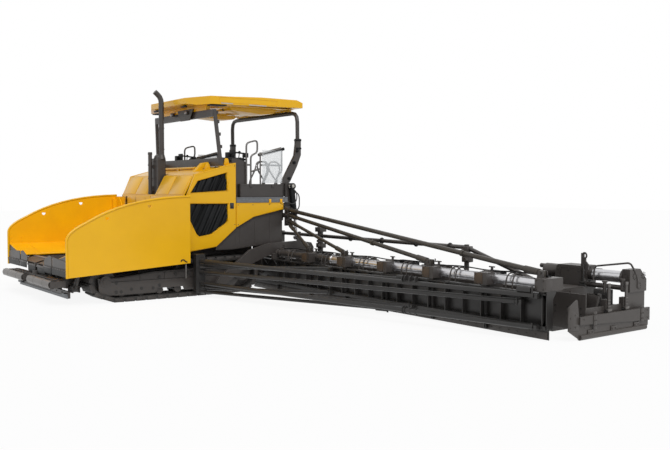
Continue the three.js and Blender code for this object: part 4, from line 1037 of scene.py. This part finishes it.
def console_levers(bm):
    for side in (-1, 1):
        x = side * 1081
        bar(bm, (x + 90, 2560, 2480), (x + 100, 2570, 2580), 9, 12)
        bmesh.ops.create_uvsphere(bm, u_segments=16, v_segments=10, radius=27,
                                  matrix=Matrix.Translation((x + 101, 2571, 2595)))
        bar(bm, (x + 20, 2460, 2480), (x + 20, 2440, 2560), 8, 12)
        bmesh.ops.create_uvsphere(bm, u_segments=16, v_segments=10, radius=22,
                                  matrix=Matrix.Translation((x + 20, 2437, 2570)))
        bent(bm, [(x - 120, 2700, 1760), (x - 120, 2690, 2100), (x - 120, 2640, 2260)], 14, None)


def console_face(bm):
    for side in (-1, 1):
        x = side * 1081
        block(bm, (x - 150, x + 150), (2671, 2678), (1830, 2330), 4)
        block(bm, (x - 70, x + 40), (2678, 2682), (2120, 2210), 3)
        outer = side * 1262
        rim(bm, [(2385, 1790), (2650, 1790), (2650, 2350), (2385, 2350)], 10,
            tuple(sorted((outer, outer + side * 3))), "x")
        studs(bm, [(outer, y, z) for y in (2400, 2636) for z in (1805, 2335)], "x", 9, side * 6)


once("side_box_lids", side_box_lids, "root", DARK)
once("console_panels", console_top, "root", PLASTIC)
once("console_levers", console_levers, "root", PLASTIC)
once("console_covers", console_face, "root", DARK)


def rail_screens(bm):
    for side in (-1, 1):
        x = side * 1310
        block(bm, (x - 3, x + 3), (2994, 3445), (2021, 2646), 2)


def leg_hoops(bm):
    """Tubular hoops whose legs cross, along both sides of the stand."""
    for side in (-1, 1):
        x = side * 1256
        for foot, head in ((2720, 2960), (3100, 2990), (3370, 3240)):
            lean = 60 if head > foot else -60
            bent(bm, [(x, foot, 1760), (x, foot + lean * 0.4, 2050), (x, head - 80, 2290),
                      (x, head - 60, 2425), (x, head + 150, 2425), (x, head + 190, 2260),
                      (x, head + 60, 2010), (x, head + 40, 1760)], 15, bend=70)


def rail_pads(bm):
    for side in (-1, 1):
        x = side * 1284
        bar(bm, (x, 3023, 2570), (x, 3500, 2682), 30, 20)
        bar(bm, (x, 3005, 2540), (x, 3023, 2574), 24, 16)


# The screens' pale colour is a painted sheen of reflected light.
once("stand_side_screens", rail_screens, "root", SCREEN)
once("stand_hoops", leg_hoops, "root", RAIL)
once("stand_rail_pads", rail_pads, "root", PLASTIC)

# ---- paving equipment across the back ----------------------------------------------------------
BOARD_END = 8079
MODULE = 1034                     # length of one module of the board, augers and torque tube
TUBE_Y, TUBE_Z = 3085, 705        # axis of the torque tube that carries the augers


def along_modules(count=7):
    """The x of every joint between board modules, from the outer end inwards."""
    return [BOARD_END - MODULE * n for n in range(count)]


def board_gussets(bm):
    for x in along_modules():
        for k in range(3):
            rib = x - 51 - 341.2 * k
            if rib < 1010:
                continue
            plate(bm, [(3005, 190), (2928, 190), (3005, 290)], (rib - 8, rib + 8), "x")
            plate(bm, [(3005, 580), (2928, 580), (3005, 480)], (rib - 8, rib + 8), "x")
            studs(bm, [(rib - 42, 3005, z) for z in (235, 540)] + [(rib + 42, 3005, z) for z in (235, 540)],
                  "y", 9, -7)


def board_joints(bm):
    for x in along_modules()[1:]:
        for side in (-1, 1):
            block(bm, (x + side * 14 - 5, x + side * 14 + 5), (2962, 3005), (30, 598), 2)
        for z in (60, 230, 400, 560):
            bar(bm, (x - 30, 2982, z), (x + 30, 2982, z), 11, 6)


def board_toe(bm):
    for x in along_modules():
        end = max(x - MODULE + 20, 990)
        block(bm, (end, x - 20), (2996, 3005), (14, 110), 2)
        bolts = [(end + 60 + k * 151, 2996, 62) for k in range(7) if end + 60 + k * 151 < x - 40]
        studs(bm, bolts, "y", 10, -8)


def board_face(bm):
    for x in along_modules():
        end = max(x - MODULE + 24, 1000)
        block(bm, (end, x - 24), (3001, 3005), (200, 574), 2)


twice("board_gussets", board_gussets, "root", BLACK)
twice("board_joint_flanges", board_joints, "root", BLACK)
twice("board_wear_strips", board_toe, "root", DARK)
twice("board_pressings", board_face, "root", BLACK)


def hanger_faces(bm):
    for n in range(1, 6):
        x = 8009 - MODULE * n
        block(bm, (x - 74, x + 74), (2899, 2904), (632, 780), 4)


def hanger_bolts(bm):
    for n in range(6):
        x = 8009 - MODULE * n
        for end in (-1, 1):
            block(bm, (x + end * 80 - 3, x + end * 80 + 3), (2920, 3050), (640, 772), 2)
        studs(bm, [(x + dx, 2899, z) for dx in (-52, 52) for z in (652, 760)], "y", 10, -8)


def hanger_straps(bm):
    for n in range(8):
        x = 8009 - MODULE * n
        if x < 1500:
            continue
        for dx in (-50, 50):
            bent(bm, [(x + dx, 3085 - 66, 700), (x + dx, 3085 - 66, 775), (x + dx, 3085 + 66, 775),
                      (x + dx, 3085 + 66, 700)], 9, bend=60, sides=2)
            bar(bm, (x + dx - 10, TUBE_Y, TUBE_Z), (x + dx + 10, TUBE_Y, TUBE_Z), 70, 28)


twice("hanger_faces", hanger_faces, "root", SCALE)
twice("hanger_bolts", hanger_bolts, "root", DARK)
twice("hanger_straps", hanger_straps, "root", DARK)


def auger_bay_plate(bm):
    """The dark sheet that closes the bay behind the track, above the front limiting board."""
    plate(bm, [(952, 588), (1350, 588), (1350, 880), (952, 880)], (2985, 2997), "y", 3)
    rim(bm, [(975, 610), (1325, 610), (1325, 858), (975, 858)], 14, (2979, 2985), "y")


twice("auger_bay_plate", auger_bay_plate, "root", DARK)


def torque_sleeves(bm):
    for n in range(7):
        x0, x1 = 8009 - MODULE * (n + 1) + 95, 8009 - MODULE * n - 95
        if x1 < 2900:
            continue
        x0 = max(x0, 3420)
        bar(bm, (x0, TUBE_Y, TUBE_Z), (x1, TUBE_Y, TUBE_Z), 64.5, 40)
        bar(bm, (x0, TUBE_Y, TUBE_Z), (x0 + 34, TUBE_Y, TUBE_Z), 74, 32)
        bar(bm, (x1 - 34, TUBE_Y, TUBE_Z), (x1, TUBE_Y, TUBE_Z), 74, 32)


def hoops(bm):
    """Pairs of arched bands that stand over the torque tube in the middle of each bay."""
    for n in range(1, 7):
        middle = 8009 - MODULE * n + MODULE / 2
        if middle < 1900:
            continue
        for x in (middle - 90, middle + 20):
            bent(bm, [(x, 2972, 604), (x, 2972, 700), (x, 3010, 786), (x, 3085, 806), (x, 3160, 786),
                      (x, 3198, 700), (x, 3198, 620)], 10, bend=36, sides=2)


def hoses_on_rail(bm):
    """Thin oil lines clipped along the tops of the hangers."""
    for y, z in ((3120, 806), (3150, 798)):
        waves = [(8009 - MODULE * n + half, y + (6 if half else -6), z + (10 if half else -6))
                 for n in range(6, 0, -1) for half in (0, 517)]
        bent(bm, [(1800, y, z)] + waves + [(7990, y, z)], 8, None, 2)


def rear_gearboxes(bm):
    for n in range(1, 7):
        x = 8009 - MODULE * n
        block(bm, (x - 70, x + 90), (3070, 3240), (640, 800), 12)
        block(bm, (x + 60, x + 130), (3100, 3200), (680, 770), 8)
        bar(bm, (x + 20, 3150, 800), (x + 20, 3150, 842), 18, 16)
        bar(bm, (x - 30, 3150, 846), (x + 70, 3150, 846), 9, 12)


twice("torque_tube_sleeves", torque_sleeves, "root", CHROME)
twice("tube_hoops", hoops, "root", DARK)
twice("auger_oil_lines", hoses_on_rail, "root", PLASTIC)
twice("auger_gearboxes", rear_gearboxes, "root", DARK)


def auger_bearings(bm):
    for n in range(7):
        x = 8009 - MODULE * n - 60
        if x < 1500 or x > 7560:
            continue
        block(bm, (x - 14, x + 14), (3215, 3325), (330, 620), 6)
        bar(bm, (x - 34, 3270, 335), (x + 34, 3270, 335), 72, 28)


twice("auger_bearings", auger_bearings, "root", DARK)

# Height on the post, then the far end's x and z, and the radius.
BRACES = [(640, 7940, 640, 34), (590, 5640, 590, 30), (530, 3600, 530, 30), (445, 7687, 470, 34),
          (250, 7940, 175, 34), (190, 5640, 175, 30), (150, 3600, 175, 30), (98, 5155, 62, 28)]


def brace_couplings(bm):
    """A flanged coupling on the two longest braces, and the fork at either end of each."""
    for z0, x1, z1, radius in BRACES:
        start, end = Vector((1680, 1470, z0)), Vector((x1, 2890, z1))
        run = (end - start).normalized()
        if x1 == 7940:
            place = start.lerp(end, 0.69)
            for step in (-26, 14):
                bar(bm, place + run * step, place + run * (step + 12), radius + 19, 24)
            for step in (95, 190):
                bar(bm, place + run * step, place + run * (step + 14), radius + 12, 24)
        bar(bm, start + run * 25, start + run * 130, radius + 8, 20)
        bar(bm, end - run * 230, end - run * 40, radius + 6, 20)


def brace_pins(bm):
    for z0, x1, z1, radius in BRACES:
        bar(bm, (1690, 1470, z0 - 56), (1690, 1470, z0 + 56), 16, 16)
        bar(bm, (x1 - 18, 2868, z1 - radius - 14), (x1 - 18, 2868, z1 + radius + 14), 14, 16)


twice("brace_couplings", brace_couplings, "root", BLACK)
twice("brace_pins", brace_pins, "root", BLACK)

# Height on the hub, radius, and the number of the hanger each stay ends on.
STAYS = [(1505, 36, 0), (1405, 34, 2), (1300, 30, 4), (1250, 28, 5)]
HUB_X, HUB_Y = 1515, 3450


def stay_foot(hanger):
    """Where along the torque tube a stay's foot stands."""
    return 8079 - MODULE * hanger - 170


def stay_couplings(bm):
    for z0, radius, n in STAYS:
        start = Vector((HUB_X, HUB_Y, z0))
        end = Vector((stay_foot(n), TUBE_Y, 840))
        run = (end - start).normalized()
        bar(bm, end - run * 300, end - run * 60, radius + 9, 20)
        bar(bm, start + run * 150, start + run * 330, radius + 9, 20)
        place = end - run * 1500
        if n < 3:
            bar(bm, place - run * 26, place + run * 26, radius + 12, 20)


def stay_feet(bm):
    for _, radius, n in STAYS:
        x = stay_foot(n)
        for dy in (-radius - 13, radius + 1):
            plate(bm, [(x - 55, 775), (x + 55, 775), (x + 40, 870), (x - 40, 870)],
                  (TUBE_Y + dy, TUBE_Y + dy + 12), "y", 3)
        bar(bm, (x, TUBE_Y - radius - 26, 840), (x, TUBE_Y + radius + 26, 840), 17, 18)


twice("stay_couplings", stay_couplings, "root", STAY)
twice("stay_feet", stay_feet, "root", DARK)


def hub_fittings(bm):
    for z0, radius, _ in STAYS:
        bar(bm, (1520, HUB_Y - 70, z0), (1520, HUB_Y + 70, z0), 22, 18)
        for dy in (-radius - 16, radius + 2):
            block(bm, (1470, 1575), (HUB_Y + dy, HUB_Y + dy + 14), (z0 - 46, z0 + 46), 4)
    block(bm, (1455, 1500), (3395, 3505), (1200, 1570), 6)
    studs(bm, [(1500, y, z) for y in (3412, 3488) for z in (1222, 1548)], "x", 12, 9)


twice("stay_hub_fittings", hub_fittings, "root", DARK)


# ---- screed ------------------------------------------------------------------------------------
WALK_TOP = 330


def walkway_tread(bm):
    """Raised bars on the walkway behind the extensions."""
    for k in range(74):
        x = 1540 + k * 81
        block(bm, (x, x + 14), (4345, 4770), (WALK_TOP, WALK_TOP + 5))


def walkway_edges(bm):
    block(bm, (1520, 7190), (4796, 4801), (296, 334), 2)
    for x in (1700, 2700, 3700, 4700, 5700, 6660):
        block(bm, (x, x + 30), (4300, 4780), (262, 300), 3)
        studs(bm, [(x + 15, 4360, WALK_TOP), (x + 15, 4740, WALK_TOP)], "z", 12, 9)


def screed_cabinets(bm):
    for x, width, height in ((1900, 360, 150), (3050, 300, 120), (4250, 420, 150), (6250, 300, 130)):
        block(bm, (x, x + width), (3760, 3960), (556, 560 + height), 10)
        block(bm, (x - 6, x + width + 6), (3752, 3968), (554 + height, 566 + height), 4)
        studs(bm, [(x + 30, 3758, 590), (x + width - 30, 3758, 590)], "y", 10, -8)


def screed_motors(bm):
    for x in (2450, 3500, 4850, 5350, 6750):
        bar(bm, (x, 3860, 625), (x + 200, 3860, 625), 58, 24)
        bar(bm, (x + 200, 3860, 625), (x + 262, 3860, 625), 40, 24)
        for end in (x + 20, x + 170):
            block(bm, (end, end + 26), (3800, 3920), (556, 640), 4)
        block(bm, (x + 60, x + 150), (3830, 3890), (676, 706), 5)


def screed_pipes(bm):
    for y, z in ((3640, 585), (3668, 585), (3700, 585)):
        bar(bm, (1620, y, z), (7560, y, z), 11, 12)
    for x in range(1750, 7560, 620):
        block(bm, (x, x + 24), (3622, 3718), (558, 604), 3)


def screed_joints(bm):
    for x in (2040, 2650, 3410, 4170, 4930, 5690, 6450):
        for y0, y1 in ((3553, 3560), (4290, 4296)):
            block(bm, (x - 34, x - 6), (y0, y1), (60, 540), 3)
            block(bm, (x + 6, x + 34), (y0, y1), (60, 540), 3)
        studs(bm, [(x + dx, 3553, z) for dx in (-20, 20) for z in (110, 260, 410, 520)], "y", 11, -9)
        block(bm, (x - 34, x + 34), (3570, 4290), (558, 572), 3)


def spindles(bm):
    for x, foot, top, size in ((1665, 560, 1180, 1.0), (5600, 560, 1030, 0.8)):
        block(bm, (x - 75 * size, x + 95 * size), (4100 - 80 * size, 4100 + 80 * size),
              (top - 110, top - 20), 10)
        bar(bm, (x, 4100, top - 20), (x, 4100, top + 6), 46 * size, 20)
        bar(bm, (x, 4100, 870), (x, 4100, 912), 74 * size, 28)
        block(bm, (x - 70 * size, x + 110 * size), (4040, 4160), (760, 850), 12)
        bar(bm, (x + 60, 3985, 805), (x + 60, 4045, 805), 36 * size, 20)
        bar(bm, (x, 4100, foot), (x, 4100, foot + 60), 84 * size, 28)
        block(bm, (x - 120 * size, x + 120 * size), (3990, 4210), (556, 578), 5)


def truss_collars(bm):
    for x in (900, 2600, 3500, 4400, 5200):
        bar(bm, (x, 4100, 990), (x + 60, 4100, 990), 43, 20)
        bar(bm, (x + 24, 4100, 990), (x + 36, 4100, 990), 56, 24)


def hand_cranks(bm):
    for x in (2300, 4700, 6900):
        bar(bm, (x, 4240, 558), (x, 4240, 690), 18, 16)
        bar(bm, (x, 4240, 690), (x, 4240, 700), 62, 24)
        bar(bm, (x + 44, 4240, 700), (x + 44, 4240, 748), 11, 12)


twice("screed_walkway_tread", walkway_tread, "screed", ZINC)
twice("screed_walkway_edges", walkway_edges, "screed", DARK)
twice("screed_cabinets", screed_cabinets, "screed", PLASTIC)
twice("screed_vibrator_motors", screed_motors, "screed", DARK)
twice("screed_pipes", screed_pipes, "screed", WORN)
twice("screed_joints", screed_joints, "screed", DARK)
twice("screed_spindle_gears", spindles, "screed", DARK)
twice("screed_truss_collars", truss_collars, "screed", BLACK)
twice("screed_hand_cranks", hand_cranks, "screed", WORN)


def housing_details(bm):
    studs(bm, [(x, 4400, z) for x in (7130, 7300, 7480) for z in (380, 560, 760)], "y", 13, -9)
    rim(bm, [(7100, 360), (7530, 360), (7530, 790), (7180, 790)], 14, (4393, 4400), "y")
    bar(bm, (7548, 4550, 708), (7566, 4550, 708), 108, 36)
    bar(bm, (7548, 4500, 568), (7566, 4500, 568), 54, 28)
    for k in range(8):
        a = k * math.pi / 4
        bar(bm, (7566, 4550 + 96 * math.cos(a), 708 + 96 * math.sin(a)),
            (7573, 4550 + 96 * math.cos(a), 708 + 96 * math.sin(a)), 8, 6)


def lifting_eye(bm):
    plate(bm, [(7512, 780), (7636, 780), (7640, 850), (7592, 900), (7592, 930), (7540, 930), (7535, 880),
               (7512, 850)],
          (4398, 4422), "y", 3)
    ring = [(7566 + 34 * math.cos(k * math.tau / 16), 4410, 975 + 38 * math.sin(k * math.tau / 16))
            for k in range(16)]
    bent(bm, ring, 13, None, 3, closed=True)
    bar(bm, (7566, 4410, 905), (7566, 4410, 945), 14, 16)


def eye_drop(bm):
    bent(bm, [(7566, 4392, 860), (7574, 4380, 700), (7566, 4376, 540)], 13, None)
    for z in (600, 560):
        block(bm, (7520, 7610), (4360, 4396), (z - 14, z + 14), 4)


twice("end_housing_flanges", housing_details, "screed", DARK)
twice("screed_lifting_eye", lifting_eye, "screed", DARK)
twice("screed_eye_links", eye_drop, "screed", BLACK)

# ---- sliding end of the screed ---------------------------------------------------------------------


def end_tube_sleeve(bm):
    bar(bm, (7640, 4550, 708), (8132, 4550, 708), 82.5, 44)


def end_tube_collars(bm):
    bar(bm, (8104, 4550, 708), (8138, 4550, 708), 112, 40)
    bar(bm, (8112, 4500, 568), (8138, 4500, 568), 56, 28)


def end_block_details(bm):
    outer = 8262
    for cy, cz in ((4560, 735), (4760, 735), (4660, 600)):
        for k in range(8):
            a = k * math.pi / 4
            bar(bm, (outer, cy + 42 * math.cos(a), cz + 42 * math.sin(a)),
                (outer + 7, cy + 42 * math.cos(a), cz + 42 * math.sin(a)), 7, 6)
        bar(bm, (outer, cy, cz), (outer + 4, cy, cz), 27, 24)
    front = 4450
    for k in range(10):
        a = k * math.tau / 10
        bar(bm, (8200 + 44 * math.cos(a), front, 735 + 44 * math.sin(a)),
            (8200 + 44 * math.cos(a), front - 7, 735 + 44 * math.sin(a)), 7, 6)
    studs(bm, [(x, front, z) for x in (8160, 8240) for z in (545, 610)], "y", 12, -8)


def end_rail(bm):
    bent(bm, [(7720, 4405, 640), (7720, 4430, 838), (8262, 4450, 921), (8264, 4560, 800), (8264, 4626, 690),
              (8264, 4626, 570)], 13, bend=45)


def end_spindles(bm):
    for y in (3955, 4340):
        bar(bm, (8218, y, 560), (8218, y, 690), 24, 20)
        bar(bm, (8218, y, 690), (8218, y, 712), 36, 24)
    for x, y in ((7700, 3760), (7760, 4160)):
        block(bm, (x, x + 190), (y, y + 110), (286, 470), 10)
        block(bm, (x + 30, x + 160), (y + 10, y + 100), (470, 486), 5)
    for x in (7650, 8110):
        bent(bm, [(x, 3920, 290), (x + 10, 3990, 520), (x, 4060, 290)], 17, bend=30)
        bar(bm, (x - 10, 3990, 505), (x + 24, 3990, 505), 24, 20)


def end_boxes(bm):
    block(bm, (7880, 8110), (4180, 4300), (288, 560), 8)
    block(bm, (7920, 8070), (4172, 4180), (480, 500), 3)
    bar(bm, (7540, 3700, 330), (7640, 3700, 330), 46, 24)
    bar(bm, (7540, 3700, 330), (7700, 3700, 330), 22, 20)
    for z in (300, 380):
        studs(bm, [(x, 3535, z) for x in (7560, 7760, 7960, 8160)], "y", 12, -8)


twice("end_tube_sleeve", end_tube_sleeve, "screed_end_{}", CHROME)
twice("end_tube_collars", end_tube_collars, "screed_end_{}", DARK)
twice("end_block_bolts", end_block_details, "screed_end_{}", DARK)
twice("end_rail", end_rail, "screed_end_{}", DARK)
twice("end_frames", end_spindles, "screed_end_{}", DARK)
twice("end_boxes", end_boxes, "screed_end_{}", BLACK)


def gate_band(bm):
    """Bolted straps, stiffeners and the sliding shoe's clips on the gate's outer face."""
    outer = 8315
    for y, z in ((3620, 236), (4660, 236)):
        block(bm, (outer, outer + 7), (y - 34, y + 34), (120, 350), 4)
        studs(bm, [(outer + 7, y + dy, z + dz) for dy in (-18, 18) for dz in (-70, 0, 76)], "x", 9, 7)
    for y in (3400, 4790):
        studs(bm, [(outer, y, z) for z in (165, 265)], "x", 10, 7)
    for y in (3560, 4050, 4560):
        block(bm, (8290, 8302), (y - 60, y + 60), (52, 124), 4)
        studs(bm, [(8302, y + dy, 88) for dy in (-36, 36)], "x", 10, 8)
    bar(bm, (8285, 3344, 36), (8285, 3352, 36), 35.5, 28)
    for y in (3520, 4070, 4600):
        bar(bm, (8285, y, 36), (8285, y + 26, 36), 35.5, 28)


def gate_posts(bm):
    for y in (3955, 4340):
        bar(bm, (8281, y, 640), (8281, y, 676), 26, 20)
        block(bm, (8272, 8306), (y - 42, y + 42), (318, 352), 4)
        for z in (380, 420, 460):
            bar(bm, (8281, y, z), (8281, y, z + 12), 25, 20)


def gate_nose(bm):
    plate(bm, [(3320, 132), (3320, 300), (3132, 452), (3104, 300), (3116, 138)], (8291, 8297), "x", 2)
    studs(bm, [(8297, y, z) for y, z in ((3150, 180), (3150, 300), (3250, 180), (3250, 330))], "x", 10, 7)


twice("gate_straps", gate_band, "end_gate_{}", DARK)
twice("gate_posts", gate_posts, "end_gate_{}", WORN)
twice("gate_nose", gate_nose, "end_gate_{}", DARK)

# ---- cylinders ---------------------------------------------------------------------------------


def lift_cap(bm):
    top, low = Vector((1420, 3595, 1960)), Vector((1420, 3705, 960))
    run = (low - top).normalized()
    bar(bm, top - run * 34, top + run * 24, 62, 32)


def lift_ports(bm):
    top, low = Vector((1420, 3595, 1960)), Vector((1420, 3705, 960))
    run = (low - top).normalized()
    for t in (120, 470):
        place = top + run * t
        bar(bm, place + Vector((0, 44, 5)), place + Vector((0, 72, 8)), 20, 16)
        bar(bm, place + Vector((0, 50, 6)), place + Vector((0, 74, 8)), 27, 6)


twice("lift_cylinder_cap", lift_cap, "lift_barrel_{}", PALE)
twice("lift_cylinder_ports", lift_ports, "lift_barrel_{}", WORN)


def wing_cylinder_trim(bm):
    low, high = Vector((1120, -560, 230)), Vector((1400, -560, 640))
    run = (high - low).normalized()
    bar(bm, low + run * 300, low + run * 346, 50, 28)
    bar(bm, low + run * 70, low + run * 100, 48, 28)
    bar(bm, low + run * 120, low + run * 120 + Vector((-30, -46, 20)), 14, 12)


twice("wing_cylinder_glands", wing_cylinder_trim, "wing_barrel_{}", DARK)


# ---- stage ----------------------------------------------------------------------------------
def seen_directly(tree):
    """1 where a camera, mirror or glass ray looks straight at the backdrop."""
    path = add(tree, "ShaderNodeLightPath")
    mirror = add(tree, "ShaderNodeMath", {0: path.outputs["Is Camera Ray"], 1: path.outputs["Is Glossy Ray"]},
                 operation="MAXIMUM")
    return add(tree, "ShaderNodeMath", {0: mirror.outputs["Value"], 1: path.outputs["Is Transmission Ray"]},
               operation="MAXIMUM").outputs["Value"]


FLOOR_HALF = 60
bm = bmesh.new()
bmesh.ops.create_grid(bm, x_segments=1, y_segments=1, size=FLOOR_HALF)
floor_mesh = bpy.data.meshes.new("floor")
bm.to_mesh(floor_mesh)
bm.free()
floor = bpy.data.objects.new("floor", floor_mesh)
bpy.context.scene.collection.objects.link(floor)
pale = bpy.data.materials.new("pale_floor")
pale.use_nodes = True
tree = pale.node_tree
tree.nodes.clear()
ground = add(tree, "ShaderNodeBsdfDiffuse", {"Color": (0.85, 0.85, 0.85, 1)})
glow = add(tree, "ShaderNodeEmission", {"Color": (1, 1, 1, 1), "Strength": 1.0})
share = add(tree, "ShaderNodeMath", {0: seen_directly(tree), 1: 0.90}, operation="MULTIPLY")
both = add(tree, "ShaderNodeMixShader", {0: share.outputs["Value"], 1: ground.outputs["BSDF"],
                                         2: glow.outputs["Emission"]})
add(tree, "ShaderNodeOutputMaterial", {"Surface": both.outputs["Shader"]})
floor_mesh.materials.append(pale)

DOME_LIGHT = 0.46
world = bpy.data.worlds.new("studio")
bpy.context.scene.world = world
world.use_nodes = True
tree = world.node_tree
tree.nodes.clear()
dome = add(tree, "ShaderNodeMapRange", {"Value": seen_directly(tree), "To Min": DOME_LIGHT, "To Max": 1.0})
sky = add(tree, "ShaderNodeBackground", {"Color": (1, 1, 1, 1), "Strength": dome.outputs["Result"]})
add(tree, "ShaderNodeOutputWorld", {"Surface": sky.outputs["Background"]})

sun = bpy.data.objects.new("soft_key", bpy.data.lights.new("soft_key", "SUN"))
bpy.context.scene.collection.objects.link(sun)
sun.data.energy = 2.1
sun.data.angle = math.radians(35)
sun.rotation_mode = "QUATERNION"
sun.rotation_quaternion = Vector((-0.66, 0.24, -0.80)).to_track_quat("-Z", "Y")
bpy.context.scene.view_settings.view_transform = "Standard"
